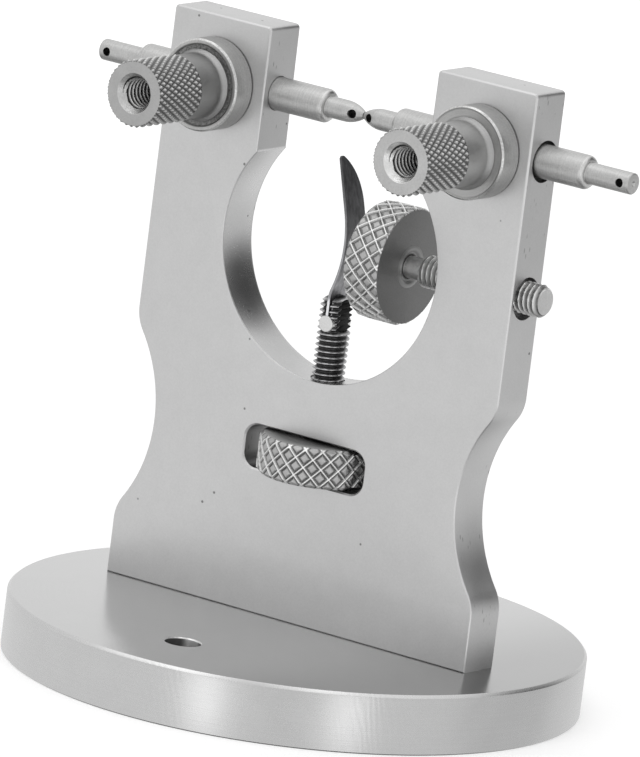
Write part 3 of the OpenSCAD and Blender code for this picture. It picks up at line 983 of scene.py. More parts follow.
@dataclass(frozen=True)
class Wheel:
    """A wheel with a knurled rim and a bore.

    Attributes:
        ends: Where its two faces lie on its axis.
        radius: Its outer radius.
        edge: The bevel at each face.
        bore: The bore's radius.
        faces: The painted shade on its faces near the rim and further in.
        knurl: The rim's knurl.
        recess: The radius and depth of a recess in the far face, if it has one.
        cell_steps: The number of points across a cell of the knurl.
        row: The distance between two rows of points.
    """

    ends: Pair
    radius: float
    edge: float
    bore: float
    faces: Pair
    knurl: Knurl
    recess: Pair | None = None
    cell_steps: int = 26
    row: float = 0.06

    def skin(self, spindle: Spindle) -> Skin:
        """The wheel's surface.

        The rim's radius at (t, a) is the smaller of the bevelled plain profile and the knurl's, and the
        closed profile runs on over the far face, through the bore and back over the near face.

        Args:
            spindle: The wheel's axis.

        Returns:
            The closed surface.
        """
        (low, high), (outer, central), edge = self.ends, self.faces, self.radius - self.edge
        steps = self.knurl.starts * self.cell_steps
        rows = np.linspace(low, high, int((high - low) / self.row))
        plain = edge + np.minimum(np.minimum(rows - low, high - rows), self.edge)
        drop = self.knurl.drop(rows[:, None] - (low + high) / 2, angles(steps))
        wide, sunk = self.recess or (self.bore + 0.3, 0.0)
        # Where there is no recess, a hair's width keeps its corners apart.
        rim, middle, thin = edge - 0.06, self.radius * 0.7, 1e-3
        inner = np.array([(high, rim), (high, middle), (high, wide), (high - sunk - thin, wide - thin),
                          (high - sunk - 2 * thin, self.bore), (low, self.bore), (low, middle), (low, rim)])
        # Painted shade on the faces, near the rim and further in, and in the recess and the bore.
        shade = np.repeat([outer, central, outer], [1, 6, 1])
        full = np.ones((1, steps))
        r = np.vstack([np.minimum(plain[:, None], self.radius - drop), inner[:, 1:] * full])
        painted_shade = np.vstack([self.knurl.grime_and_shade(drop), shade[:, None] * full])
        return rings(spindle, np.r_[rows, inner[:, 0]], r, steps, True, painted_shade)


@dataclass
class Base(SubAssembly):
    """The round base with its bench holes, and the two screws that hold the plate from below.

    Attributes:
        radius: The disc's radius.
        height: Its height.
        edge: The bevel round its top.
        low_edge: The bevel round its foot.
        hole_r: The bench holes' radius.
        hole_rim: The bevel round them.
        screw_r: The screws' radius.
        head_r: Their heads' radius.
        screw_top: How high they reach.
        play: The room round them.
        slot: The half length, half width and depth of their slots.
    """

    radius: float = 35.0
    height: float = 7.3
    edge: float = 0.36
    low_edge: float = 0.15
    hole_r: float = 2.15
    hole_rim: float = 0.16
    screw_r: float = 1.5
    head_r: float = 3.0
    screw_top: float = 13.8
    play: float = 0.05
    slot: Point = (2.6, 0.4, 0.9)

    def build(self) -> None:
        """Turns the disc, drills it and makes the screws."""
        r, h, e, low = self.radius, self.height, self.edge, self.low_edge
        profile = rounded([(0, 0), (0, r - low), (low, r), (h - e, r), (h, r - e), (h, 0)],
                          [0, 0.06, 0.06, 0.08, 0.08, 0], 4)
        disc = solid("base_plate", turned(standing(), profile, 256), 60)
        hole, rim = self.hole_r, self.hole_rim
        wall = [(-1, hole), (h - rim, hole), (h, hole + rim), (h + 1, hole + rim + 1)]
        holes = [stepped_bore(standing(0, y), wall) for y in (-BENCH_Y, BENCH_Y)]
        places = (-SCREW_X, SCREW_X)
        sink, seat, bore = self.head_r - self.screw_r, self.head_r + self.play, self.screw_r + self.play
        wall = [(-1, seat), (self.play, seat), (sink, bore), (h + 1, bore)]
        carve(disc, holes + [stepped_bore(standing(x), wall) for x in places])
        self.add(disc, "frame", Slot.BASE, Coat.BASE, "base_disc")
        shape = rounded([(0, 0), (0, self.head_r), (sink, self.screw_r), (self.screw_top, self.screw_r),
                         (self.screw_top, 0)], [0, 0.08, 0, 0.2, 0], 4)
        pair = solid("base_screws", joined([turned(standing(x), shape, 64) for x in places]))
        length, width, depth = self.slot
        carve(pair, [block((x - length, -width, -1), (x + length, width, depth)) for x in places])
        self.add(pair, "frame", Slot.THREAD, Coat.THREAD, "frame_screws")


@dataclass
class Upright(SubAssembly):
    """The upright plate: its waisted outline, opening, window and bores.

    Attributes:
        half_w: Half the plate's width.
        half_t: Half its thickness.
        foot_z: The height of its foot.
        top_z: The height of its top.
        gap: Half the gap between the arms.
        opening_r: The opening's radius.
        waist_r: The radius of the waists' arcs.
        waist_x: How far their centres lie from the middle.
        waist_z: Their centres' height.
        blend: The radius that joins them to the straight sides.
        bevel: The bevels over the arms and in the gap.
        side_bevel: The bevels down the sides.
        bore_bevel: The bevels round the opening.
        corner: The radius of the arms' top corners.
        window: Its length, height, middle's height and corners' radius.
        window_bevel: The bevel round it.
        stud_r: The radius of the studs' bores.
        runner_r: The radius of the runners' bores.
        runner_relief: The radius and depth of these bores' reliefs, and how far back and down those lie.
        adjuster_r: The radius of the side screw's bore.
        adjuster_relief: The same of that bore's relief.
        post: The lowest place, highest place and radius of the post's bore.
        fasteners: The top and radius of the base screws' bores.
    """

    half_w: float = 26.6
    half_t: float = 3.0
    foot_z: float = 7.3
    top_z: float = 77.5
    gap: float = 12.2
    opening_r: float = 15.65
    waist_r: float = 17.8
    waist_x: float = 40.2
    waist_z: float = 27.1
    blend: float = 5.0
    bevel: float = 0.34
    side_bevel: float = 0.22
    bore_bevel: float = 0.12
    corner: float = 0.55
    window: Quad = (17.6, 5.3, 27.3, 1.8)
    window_bevel: float = 0.2
    stud_r: float = 3.05
    runner_r: float = 2.12
    runner_relief: Quad = (2.55, 2.0, 0.25, 0.1)
    adjuster_r: float = 2.05
    adjuster_relief: Quad = (2.6, 1.2, 0.0, 0.2)
    post: Point = (14.1, 40.0, 2.08)
    fasteners: Pair = (14.8, 1.55)

    def right_side(self) -> Array:
        """The outline's right half, from the foot to the opening's lowest point.

        The waist is an arc about a point outside the plate. Two smaller arcs, whose centres are both
        radii away from that point and the blend's radius inside the side, join it to the straight side.
        Quarter circles round the arm's two top corners.

        Returns:
            The (x, z) points, anticlockwise.
        """
        in_x = self.half_w - self.blend
        up = math.sqrt((self.waist_r + self.blend) ** 2 - (self.waist_x - in_x) ** 2)
        lean = math.atan2(up, self.waist_x - in_x)
        reach = math.atan2(math.sqrt(self.opening_r ** 2 - self.gap ** 2), self.gap)
        c = self.corner

        def arc(x: float, z: float, r: float, start: float, stop: float, steps: int) -> Array:
            """Points on a circle about (x, z), at evenly spaced angles."""
            a = np.linspace(start, stop, steps)
            return np.stack([x + r * np.cos(a), z + r * np.sin(a)], -1)

        return np.vstack([
            [(self.half_w, self.foot_z)],
            arc(in_x, self.waist_z - up, self.blend, 0, lean, 14),
            arc(self.waist_x, self.waist_z, self.waist_r, math.pi + lean, math.pi - lean, 40)[1:-1],
            arc(in_x, self.waist_z + up, self.blend, -lean, 0, 14),
            arc(self.half_w - c, self.top_z - c, c, 0, math.pi / 2, 7),
            arc(self.gap + c, self.top_z - c, c, math.pi / 2, math.pi, 7),
            arc(0, OPENING_Z, self.opening_r, reach, -math.pi / 2, 72)[:-1],
        ])

    def outline(self) -> Array:
        """The whole outline: the right half, the opening's lowest point and the left half mirrored."""
        right = self.right_side()
        low = np.array([(0, OPENING_Z - self.opening_r)])
        return np.vstack([right, low, right[::-1] * [-1, 1]])

    @staticmethod
    def inset(loop: Array, amount: Array) -> Array:
        """A loop moved inwards.

        A point moves along the sum of its two sides' normals over one plus their dot product, which
        keeps both sides at the same distance.

        Args:
            loop: The anticlockwise (x, z) points.
            amount: The distance to move at each point.

        Returns:
            The moved points.
        """
        run = np.roll(loop, -1, 0) - loop
        run /= np.linalg.norm(run, axis=1, keepdims=True)
        ahead = np.stack([-run[:, 1], run[:, 0]], -1)
        behind = np.roll(ahead, 1, 0)
        return loop + amount[:, None] * (ahead + behind) / (1 + (ahead * behind).sum(1, keepdims=True))

    def body(self) -> Skin:
        """The plate's surface: the outline carried from back to front, drawn in by a bevel at each face.

        The bevel has three facets, whose corners lie on a quarter circle of its width. It is finest in
        the opening, and finer down the sides than over the arms and in the gap.

        Returns:
            The closed surface.
        """
        loop = self.outline()
        bored = np.hypot(loop[:, 0], loop[:, 1] - OPENING_Z) < self.opening_r + 0.01
        sides = (np.abs(loop[:, 0]) > self.gap + 2) & (loop[:, 1] < self.top_z - 2)
        width = np.where(bored, self.bore_bevel, np.where(sides, self.side_bevel, self.bevel))
        turn = np.radians([0, 22, 68, 90])
        rows = []
        for side, order in ((1, turn), (-1, turn[::-1])):
            for a in order:
                ring = self.inset(loop, width * (1 - math.sin(a)))
                y = side * (self.half_t - width * (1 - math.cos(a)))
                rows.append(np.stack([ring[:, 0], y, ring[:, 1]], -1))
        return sections(np.stack(rows))

    def window_cutter(self) -> Skin:
        """The window, opened by a small bevel at each face."""
        w, h, z, r = self.window
        t, bevel = self.half_t, self.window_bevel
        rows = []
        for y, grow in ((t + 1, bevel + 1), (t - bevel, 0.0), (bevel - t, 0.0), (-t - 1, bevel + 1)):
            x, up = w / 2 + grow, h / 2 + grow
            ring = rounded([(-x, z - up), (x, z - up), (x, z + up), (-x, z + up)], [r + grow] * 4, 10, True)
            rows.append(np.stack([ring[:, 0], np.full(len(ring), y), ring[:, 1]], -1))
        return sections(np.stack(rows))

    def side_bore(self, side: Side, z: float, radius: float, relief: Quad) -> list[Skin]:
        """A bore from the gap or the opening to an arm's side, and its wider relief there.

        Args:
            side: The arm.
            z: The bore's height.
            radius: Its radius.
            relief: The relief's radius and depth, and how far its axis lies back and down from the bore's.

        Returns:
            The two cutters.
        """
        along = (float(side.value), 0, 0)
        wide, depth, back, down = relief
        start, end = self.gap - 1, self.half_w - depth
        return [stepped_bore(Spindle((0, 0, z), along, UP), [(start, radius), (end + 0.1, radius)]),
                stepped_bore(Spindle((0, back, z - down), along, UP), [(end, wide), (self.half_w + 1, wide)])]

    def arm_cutters(self, side: Side) -> list[Skin]:
        """The runner's bore with its relief, and the stud's bore, of one arm."""
        stud = Spindle((side.value * CLAMP_X, 0, RUNNER_Z), BACK, UP)
        reach = self.half_t + 1
        return [*self.side_bore(side, RUNNER_Z, self.runner_r, self.runner_relief),
                stepped_bore(stud, [(-reach, self.stud_r), (reach, self.stud_r)])]

    def build(self) -> None:
        """Forms the plate and cuts its window and bores."""
        plate = solid("upright_plate", self.body(), 40)
        low, high, r = self.post
        middle = self.window[2]
        cutters = [self.window_cutter(), *self.arm_cutters(Side.LEFT), *self.arm_cutters(Side.RIGHT),
                   *self.side_bore(Side.RIGHT, ADJUST_Z, self.adjuster_r, self.adjuster_relief),
                   stepped_bore(standing(), [(low, r), (middle, r)]),
                   stepped_bore(standing(), [(middle, r), (high, r)])]
        top, thin = self.fasteners
        for x in (-SCREW_X, SCREW_X):
            cutters.append(stepped_bore(standing(x), [(self.foot_z - 1, thin), (top, thin)]))
        carve(plate, cutters, crease=18)
        self.add(plate, "frame", Slot.PLATE, Coat.PLATE, "frame_plate")


@dataclass
class Runner(SubAssembly):
    """One runner: a turned rod with two thin ends, a rounded nose, cross holes and pivot holes.

    Attributes:
        side: The arm that it runs in.
        nose_x: Where its nose ends along X.
        thick_r: The radius of its thick length.
        thin_r: The radius of its thin lengths.
        thick_l: Its thick length.
        outer_l: Its outer thin length.
        inner_l: Its inner thin length, with the nose.
        shoulder: The rounding at the two ends of the thick length.
        shoulder_highlight: The painted highlight on those, as a painted shade below 0.
        nose_l: The nose's length.
        nose_r: The radius to which the nose falls.
        edge: The rounding of its outer end.
        cross_r: The cross holes' radius.
        cross_in: How far they lie from the two ends.
        cross_shade: The painted shade in them.
        dark: How far from the axis the outer and the inner cross hole start to take that painted shade.
        centre: The outer end's countersink: its radius, its pilot's radius and its depth.
        pivot: The nose's pivot hole: its radius, its rim's radius and its rim's depth.
    """

    side: Side = Side.LEFT
    nose_x: float = 0.55
    thick_r: float = 2.05
    thin_r: float = 1.3
    thick_l: float = 27.7
    outer_l: float = 6.1
    inner_l: float = 5.0
    shoulder: float = 0.65
    shoulder_highlight: float = -0.25
    nose_l: float = 2.7
    nose_r: float = 0.42
    edge: float = 0.2
    cross_r: float = 0.53
    cross_in: float = 1.2
    cross_shade: float = 1.08
    dark: Pair = (1.08, 0.76)
    centre: Point = (0.34, 0.04, 0.3)
    pivot: Point = (0.125, 0.25, 0.22)

    def darken(self, piece: bpy.types.Object, holes: Sequence[Pair]) -> None:
        """Paints shade in the cross holes from just below their rims.

        A point lies on a hole's wall where the root of its squared distances from the hole's axis along X
        and Z is the hole's radius.

        Args:
            piece: The bored rod.
            holes: Each hole's place along X, and how far from the rod's axis its painted shade starts.
        """
        mesh = piece.data
        points = np.empty(len(mesh.vertices) * 3, np.float32)
        mesh.vertices.foreach_get("co", points)
        x, y, z = points.reshape(-1, 3).T / MM
        painted_shade = np.empty(len(x), np.float32)
        mesh.attributes["painted_shade"].data.foreach_get("value", painted_shade)
        for at, dark in holes:
            near = np.hypot(x - at, z - RUNNER_Z) < self.cross_r + 0.02
            painted_shade[near & (np.abs(y) < dark + 0.01)] = self.cross_shade
        mesh.attributes["painted_shade"].data.foreach_set("value", painted_shade)

    def build(self) -> None:
        """Turns the rod from its outer end to its nose and drills it."""
        s, thin, thick = float(self.side.value), self.thin_r, self.thick_r
        step, end = self.outer_l, self.outer_l + self.thick_l
        length = end + self.inner_l
        outer = self.nose_x + s * length
        spin = Spindle((outer, 0, RUNNER_Z), (-s, 0, 0), UP)
        drop = thin - self.nose_r
        ogive = (self.nose_l ** 2 + drop ** 2) / (2 * drop)
        t = np.linspace(0, self.nose_l, 20)
        nose = np.stack([length - self.nose_l + t, thin - ogive + np.sqrt(ogive ** 2 - t ** 2)], -1)
        rod = rounded([(0, 0), (0, thin), (step, thin), (step, thick), (end, thick), (end, thin),
                       (length - self.nose_l, thin)],
                      [0, self.edge, 0.08, self.shoulder, self.shoulder, 0.08, 0], 6)
        profile = np.vstack([rod[:-1], nose, [(length, 0)]])
        # A painted highlight round the shoulders.
        highlit = (profile[:, 1] > thin + 0.1) & (profile[:, 1] < thick - 0.03)
        painted_shade = np.where(highlit, self.shoulder_highlight, 0.0)
        word = self.side.word
        piece = solid(f"{word}_rod", turned(spin, profile, 96, painted_shade=painted_shade))
        holes = list(zip((outer - s * self.cross_in, self.nose_x + s * self.cross_in), self.dark))
        cutters = [stepped_bore(Spindle((x, 0, RUNNER_Z), BACK, UP),
                                [(y, self.cross_r) for y in (-2, -dark, dark, 2)], 40)
                   for x, dark in holes]
        wide, pilot, sink = self.centre
        wall = [(-1, wide + 1.2), (0, wide), (sink, pilot), (self.cross_in, pilot)]
        cutters.append(stepped_bore(spin, wall, 32))
        hole, rim, sink = self.pivot
        wall = [(length - self.cross_in, hole), (length - sink, hole), (length, rim),
                (length + 1, rim + 0.57)]
        cutters.append(stepped_bore(spin, wall, 32))
        carve(piece, cutters)
        self.darken(piece, holes)
        self.add(piece, f"{word}_runner", Slot.TURNED, Coat.RUNNER, f"{word}_runner")


@dataclass
class Clamp(SubAssembly):
    """One runner clamp: the stud through the arm, the dished collar and the knurled nut.

    Attributes:
        side: The arm that it stands in.
        stud_r: The radius of the stud's shank.
        stud_front: Where the shank ends in front.
        stud_back: Where it ends at the back.
        thread_end: Where the stud's thread ends.
        stud_edge: The bevel there, in front of which the nut's thread is drawn.
        run_r: The radius of the stud's bore for the runner.
        play: The room round the thread in the nut; the collar has twice that.
        collar: The collar's back, front and radius.
        collar_edge: The bevel round its front.
        rim_highlight: The painted highlight on that bevel, as a painted shade below 0.
        dish: The dish's radius, where its floor lies and how dark the floor is.
        nut_ends: Where the nut starts and ends.
        foot_r: The radius of its foot.
        neck_r: The radius of its neck.
        neck_shade: The painted shade on the neck.
        fillet_shade: The painted shade on the fillet between foot and neck.
        mouth_r: The radius of its countersink.
        mouth_slope: How much narrower the countersink is a millimetre further in.
        face_shade: How far its front face is darkened from the knurl's lighter colour: to the nut's own tone,
            and further by painted shade.
        cone_shade: The painted shade in its countersink.
        inner: The depth of its thread in pitches, and as a share of the stud's.
        inner_shade: How fast the painted shade on that thread deepens with its depth in pitches, from how
            far, and the most.
        grip_r: The radius of its grip.
        grip_l: The length of its grip.
        grip_bevel: The lengths of the grip's bevels at its start and end, and how far they fall.
        knurl: The grip's knurl.
    """

    side: Side = Side.LEFT
    stud_r: float = 3.0
    stud_front: float = 2.8
    stud_back: float = -2.9
    thread_end: float = 14.2
    stud_edge: float = 0.6
    run_r: float = 2.1
    play: float = 0.05
    collar: Point = (3.0, 6.3, 5.6)
    collar_edge: float = 0.2
    rim_highlight: float = -0.4
    dish: Point = (4.95, 6.12, 0.75)
    nut_ends: Pair = (6.14, 19.2)
    foot_r: float = 4.35
    neck_r: float = 3.9
    neck_shade: float = 0.72
    fillet_shade: float = 0.6
    mouth_r: float = 2.45
    mouth_slope: float = 0.8
    face_shade: float = 0.55
    cone_shade: float = 0.36
    inner: Pair = (0.54, 0.88)
    inner_shade: Point = (3.6, 0.1, 1.15)
    grip_r: float = 4.075
    grip_l: float = 8.3
    grip_bevel: Point = (0.35, 0.12, 0.16)
    knurl: Knurl = Knurl(Weave.POINTS, starts=32, rise=1.4, depth=0.24, land=0.12, floor=0.85)

    @property
    def spindle(self) -> Spindle:
        """The clamp's axis, from the plate's middle to the front."""
        return Spindle((self.side.value * CLAMP_X, 0, RUNNER_Z), FRONT, UP)

    def stud_skin(self) -> Skin:
        """The stud: a plain shank, then a thread with a bevelled end."""
        back, front, end = self.stud_back, self.stud_front, self.thread_end
        shank = rounded([(back, 0), (back, self.stud_r), (front, self.stud_r), (front, 0)],
                        [0, 0.25, 0.1, 0], 4)
        rod = screw_rod(self.spindle, front - 0.4, end,
                        lambda t: np.minimum(THREAD_R, THREAD_R - self.stud_edge + (end - t)), 64)
        return joined([turned(self.spindle, shank, 96), rod])

    def collar_skin(self) -> Skin:
        """The collar: a bevelled rim round a shallow dish, bored through, darker in the dish, with painted
        shade at the back and a painted highlight on the rim.
        """
        (back, front, r), (dish_r, seat, floor_dark), e = self.collar, self.dish, self.collar_edge
        bore, step = THREAD_R + 2 * self.play, 0.1
        profile = rounded([(back, bore), (back, r - step), (back + 0.12, r - step), (back + 0.16, r),
                           (front - e, r), (front, r - e), (front, dish_r + step), (seat, dish_r - step),
                           (seat, bore)], [0, 0, 0, 0, 0.12, 0.12, 0.05, 0.1, 0], 5, True)
        t, far = profile.T
        # Painted shade on the back, where it meets the plate, darker in the dish, and a painted highlight on
        # the rim.
        painted_shade = np.where(t < back + 0.14, 1.0, np.where((far < dish_r - 0.02) & (t > seat - 0.02), floor_dark, 0.0))
        painted_shade = np.where((t > front - e - 0.01) & (far > r - e - 0.02), self.rim_highlight, painted_shade)
        return turned(self.spindle, profile, 160, True, painted_shade)

    def nut_skin(self) -> Skin:
        """The nut: foot, fillet, neck and knurled grip outside, countersink and thread inside.

        The outside's grid runs from the foot to the front face. The grip's radius is the smaller of the
        bevelled plain profile's and the knurl's. The inside's is the larger of the countersink's and the
        thread's, and the two sides join in one closed profile.

        Returns:
            The closed surface.
        """
        foot, front = self.nut_ends
        grip, deepest = front - self.grip_l, self.thread_end - self.stud_edge
        steps = self.knurl.starts * 12
        a, full = angles(steps), np.ones((1, steps))
        low = rounded([(foot, THREAD_R + self.play), (foot, self.foot_r), (foot + 0.25, self.foot_r),
                       (foot + 0.85, self.neck_r), (grip, self.neck_r)], [0, 0, 0.1, 0.8, 0], 8)
        # Painted shade on the fillet and the neck.
        shade = np.interp(low[:, 0], [foot + 0.6, foot + 1.1], [self.fillet_shade, self.neck_shade])
        rows = np.linspace(grip, front, 105)
        first, last, fall = self.grip_bevel
        rim = np.minimum(np.minimum((rows - grip) / first, (front - rows) / last), 1)
        plain = self.grip_r - fall * (1 - rim)
        drop = self.knurl.drop(rows[:, None], a)
        grooved = np.minimum(plain[:, None], self.grip_r - drop)
        inner = np.linspace(front, deepest, 104)
        mouth = (self.mouth_r - self.mouth_slope * (front - inner))[:, None]
        turns = thread_drop(inner[:, None], a)
        depth, share = self.inner
        screw = THREAD_R + 0.02 - depth * PITCH + turns * share
        bore = (THREAD_R + self.play) * full
        t = np.concatenate([low[:, 0], rows, [front, front], inner, [deepest, foot]])
        r = np.vstack([low[:, 1:] * full, grooved, (self.grip_r - 0.3) * full, (self.mouth_r + 0.03) * full,
                       np.maximum(screw, mouth), bore, bore])
        # Painted shade in the countersink, deepening into the thread, on the front face and in the bore.
        steep, late, most = self.inner_shade
        cut = np.where(mouth > screw, self.cone_shade, np.clip(steep * turns / PITCH - late, 0, most))
        face = self.face_shade * full
        painted_shade = np.vstack([shade[:, None] * full, self.knurl.grime_and_shade(drop), face, face, cut, full, full])
        return rings(self.spindle, t, r, steps, True, painted_shade)

    def build(self) -> None:
        """Makes the three pieces and bores the stud for its runner."""
        word = self.side.word
        stud = solid(f"{word}_stud", self.stud_skin(), 40)
        cross = Spindle((self.side.value * CLAMP_X, 0, RUNNER_Z), RIGHT, UP)
        carve(stud, [stepped_bore(cross, [(-4, self.run_r), (4, self.run_r)])], crease=40)
        self.add(stud, "frame", Slot.THREAD, Coat.THREAD, f"{word}_clamp_stud")
        self.add(solid(f"{word}_collar_ring", self.collar_skin(), 40), f"{word}_collar", Slot.TURNED,
                 Coat.COLLAR, f"{word}_clamp_collar")
        self.add(solid(f"{word}_knurled_nut", self.nut_skin(), 60), f"{word}_nut", Slot.KNURLED,
                 Coat.KNURLED, f"{word}_clamp_nut")


@dataclass
class HeightGauge(SubAssembly):
    """The thumb nut, the threaded post with its slotted head, the pivot pin and the blade.

    Attributes:
        nut: The thumb nut, which has smooth bevelled bands above and below its knurl.
        post_z: The post's lowest and highest place.
        dome_h: The height of its dome.
        flat_x: Where its flat lies along X.
        flat_l: How far its flat reaches down.
        slot_half: Half the width of its slot.
        pin_z: The pivot pin's height.
        pin_r: The pin's radius.
        pin_half: Half its length.
        pin_play: The room round it.
        blade_t: The blade's thickness.
        blade_half: Half its width.
        blade_edge: The bevels along it.
        tenon: How far its tenon reaches below the pin's middle.
        tenon_half: Half the tenon's width.
        bend_up: How high above the pin it bends.
        bend_r: The bend's radius.
        lean_low: Its lean in degrees after the bend.
        rise: Its straight length there.
        bow_r: The radius of the bow that turns it back.
        lean_high: Its lean the other way in degrees after the bow.
        top_l: Its straight length to the tip.
        tip_r: The radius of its back edge at the tip.
        corner: The radius of its front corner.
    """

    nut: Wheel = Wheel((24.9, 29.7), radius=7.25, edge=0.5, bore=2.05, faces=(0.5, 0.95),
                       knurl=Knurl(Weave.NET, starts=21, rise=2.17, depth=0.29, land=0.08, floor=0.25))
    post_z: Pair = (17.3, 47.3)
    dome_h: float = 1.05
    flat_x: float = 1.3
    flat_l: float = 4.3
    slot_half: float = 0.38
    pin_z: float = 43.85
    pin_r: float = 1.0
    pin_half: float = 1.95
    pin_play: float = 0.03
    blade_t: float = 0.36
    blade_half: float = 1.9
    blade_edge: float = 0.05
    tenon: float = 0.4
    tenon_half: float = 1.5
    bend_up: float = 3.05
    bend_r: float = 3.0
    lean_low: float = 20.0
    rise: float = 0.6
    bow_r: float = 15.5
    lean_high: float = 15.0
    top_l: float = 6.9
    tip_r: float = 6.7
    corner: float = 0.45

    def post_skin(self) -> Skin:
        """The post: a thread that runs out in a domed end.

        The dome is a ball through the rim at the dome's height: its radius is (rim squared + height
        squared) over twice the height.

        Returns:
            The closed surface.
        """
        low, high = self.post_z
        ball = (THREAD_R ** 2 + self.dome_h ** 2) / (2 * self.dome_h)

        def limit(t: Array) -> Array:
            """The dome's radius above, and a bevel below."""
            up = np.maximum(t - high + ball, ball - self.dome_h)
            return np.minimum(np.sqrt(ball ** 2 - up ** 2 + 1e-9), THREAD_R - 0.4 + (t - low))

        return screw_rod(standing(), low, high, limit, 80)

    def blade_path(self) -> tuple[Array, Array, Array]:
        """The blade's middle line.

        It rises straight from the pin, bends to the right, runs on, bows back through both leans and
        ends straight. On an arc the next point lies at radius times the change of the lean's cosine across
        and its sine up.

        Returns:
            The distances to the right of the pin, the heights above it and the leans in radians.
        """
        low, high = math.radians(self.lean_low), math.radians(self.lean_high)
        a = np.linspace(0, low, 10)
        x, z = self.bend_r * (1 - np.cos(a)), self.bend_up + self.bend_r * np.sin(a)
        b = np.linspace(low, -high, 40)
        x0, z0 = x[-1] + self.rise * math.sin(low), z[-1] + self.rise * math.cos(low)
        bx = x0 + self.bow_r * (np.cos(b) - math.cos(low))
        bz = z0 + self.bow_r * (math.sin(low) - np.sin(b))
        straight = np.linspace(0, self.top_l, 24)[1:]
        tx, tz = bx[-1] - straight * math.sin(high), bz[-1] + straight * math.cos(high)
        wide = np.array([self.pin_r, self.pin_r + 0.001, self.bend_up * 0.7])
        start = np.r_[-self.tenon, wide]
        return (np.r_[0 * start, x, bx, tx], np.r_[start, z, bz, tz],
                np.r_[0 * start, a, b, np.full(len(straight), -high)])

    def blade_skin(self) -> Skin:
        """The blade: a strip whose back edge curves to the tip.

        Each section is the strip's thickness across the lean and its width front to back, with four small
        bevels. The tip's back follows a circle of the tip's radius, and its front corner a smaller circle
        that touches it inside; both give the edges' Y at each height.

        Returns:
            The closed surface.
        """
        x, z, lean = self.blade_path()
        top = z[-1]
        foot = top - math.sqrt(self.tip_r ** 2 - (2 * self.blade_half - self.tip_r) ** 2)
        back_y = self.blade_half - self.tip_r
        corner_y = self.corner - self.blade_half
        reach = self.tip_r - self.corner
        corner_z = foot + math.sqrt(reach ** 2 - (corner_y - back_y) ** 2)
        # The last section stays just below the corner's top, where it still has a width.
        peak = corner_z + self.corner - 0.0006
        above = corner_z + self.corner * np.sin(np.linspace(0.02, math.pi / 2, 14))
        extra = np.minimum(np.r_[np.linspace(foot, corner_z, 22), above], peak)
        keep = z < foot
        slope = math.tan(math.radians(self.lean_high))
        x = np.r_[x[keep], x[-1] + (top - extra) * slope]
        lean = np.r_[lean[keep], np.full(len(extra), -math.radians(self.lean_high))]
        z = np.r_[z[keep], extra]
        back = back_y + np.sqrt(np.maximum(self.tip_r ** 2 - np.maximum(z - foot, 0) ** 2, 0))
        in_corner = np.sqrt(np.maximum(self.corner ** 2 - np.maximum(z - corner_z, 0) ** 2, 0))
        touch = foot + (corner_z - foot) * self.tip_r / reach
        back = np.where(z > touch, corner_y + in_corner, back)
        front = np.where(z > corner_z, corner_y - in_corner, -self.blade_half)
        narrow = z <= self.pin_r
        back = np.where(narrow, self.tenon_half, back)
        front = np.where(narrow, -self.tenon_half, front)
        half_t = self.blade_t / 2
        b = np.minimum(self.blade_edge, (back - front) / 4)
        whole = half_t + 0 * b
        across = np.stack([b - half_t, half_t - b, whole, whole, half_t - b, b - half_t, -whole, -whole], -1)
        y = np.stack([front, front, front + b, back - b, back, back, back - b, front + b], -1)
        points = np.stack([x[:, None] + across * np.cos(lean)[:, None], y,
                           self.pin_z + z[:, None] - across * np.sin(lean)[:, None]], -1)
        return sections(points)

    def build(self) -> None:
        """Makes the four pieces; cuts the post's slot, flat and bore and the pin's mortise."""
        nut = solid("thumb_nut_body", self.nut.skin(standing()), 60)
        self.add(nut, "thumb_nut", Slot.KNURLED, Coat.KNURLED, "thumb_nut")
        post = solid("post_body", self.post_skin(), 50)
        s, far, above, hole = self.slot_half, 2 * THREAD_R, self.post_z[1] + 1, self.pin_r + self.pin_play
        cross = Spindle((0, 0, self.pin_z), BACK, UP)
        carve(post, [block((-s, -far, self.pin_z), (s, far, above)),
                     block((self.flat_x, -far, self.post_z[1] - self.flat_l), (far, far, above)),
                     stepped_bore(cross, [(-far, hole), (far, hole)], 48)], Solver.DENSE, 50)
        self.add(post, "post", Slot.BLACK, Coat.BLACK, "gauge_post")
        end, r = self.pin_half, self.pin_r
        pin = solid("pin_body", turned(cross, rounded([(-end, 0), (-end, r), (end, r), (end, 0)],
                                                      [0, 0.12, 0.12, 0], 4), 64))
        thick, wide, low = self.blade_t / 2, self.tenon_half, self.pin_z - self.tenon
        carve(pin, [block((-thick, -wide, low), (thick, wide, self.pin_z + 2 * r))])
        self.add(pin, "blade", Slot.TURNED, Coat.PIN, "gauge_pin")
        blade = solid("blade_strip", self.blade_skin())
        self.add(blade, "blade", Slot.SPRING, Coat.SPRING, "gauge_blade")


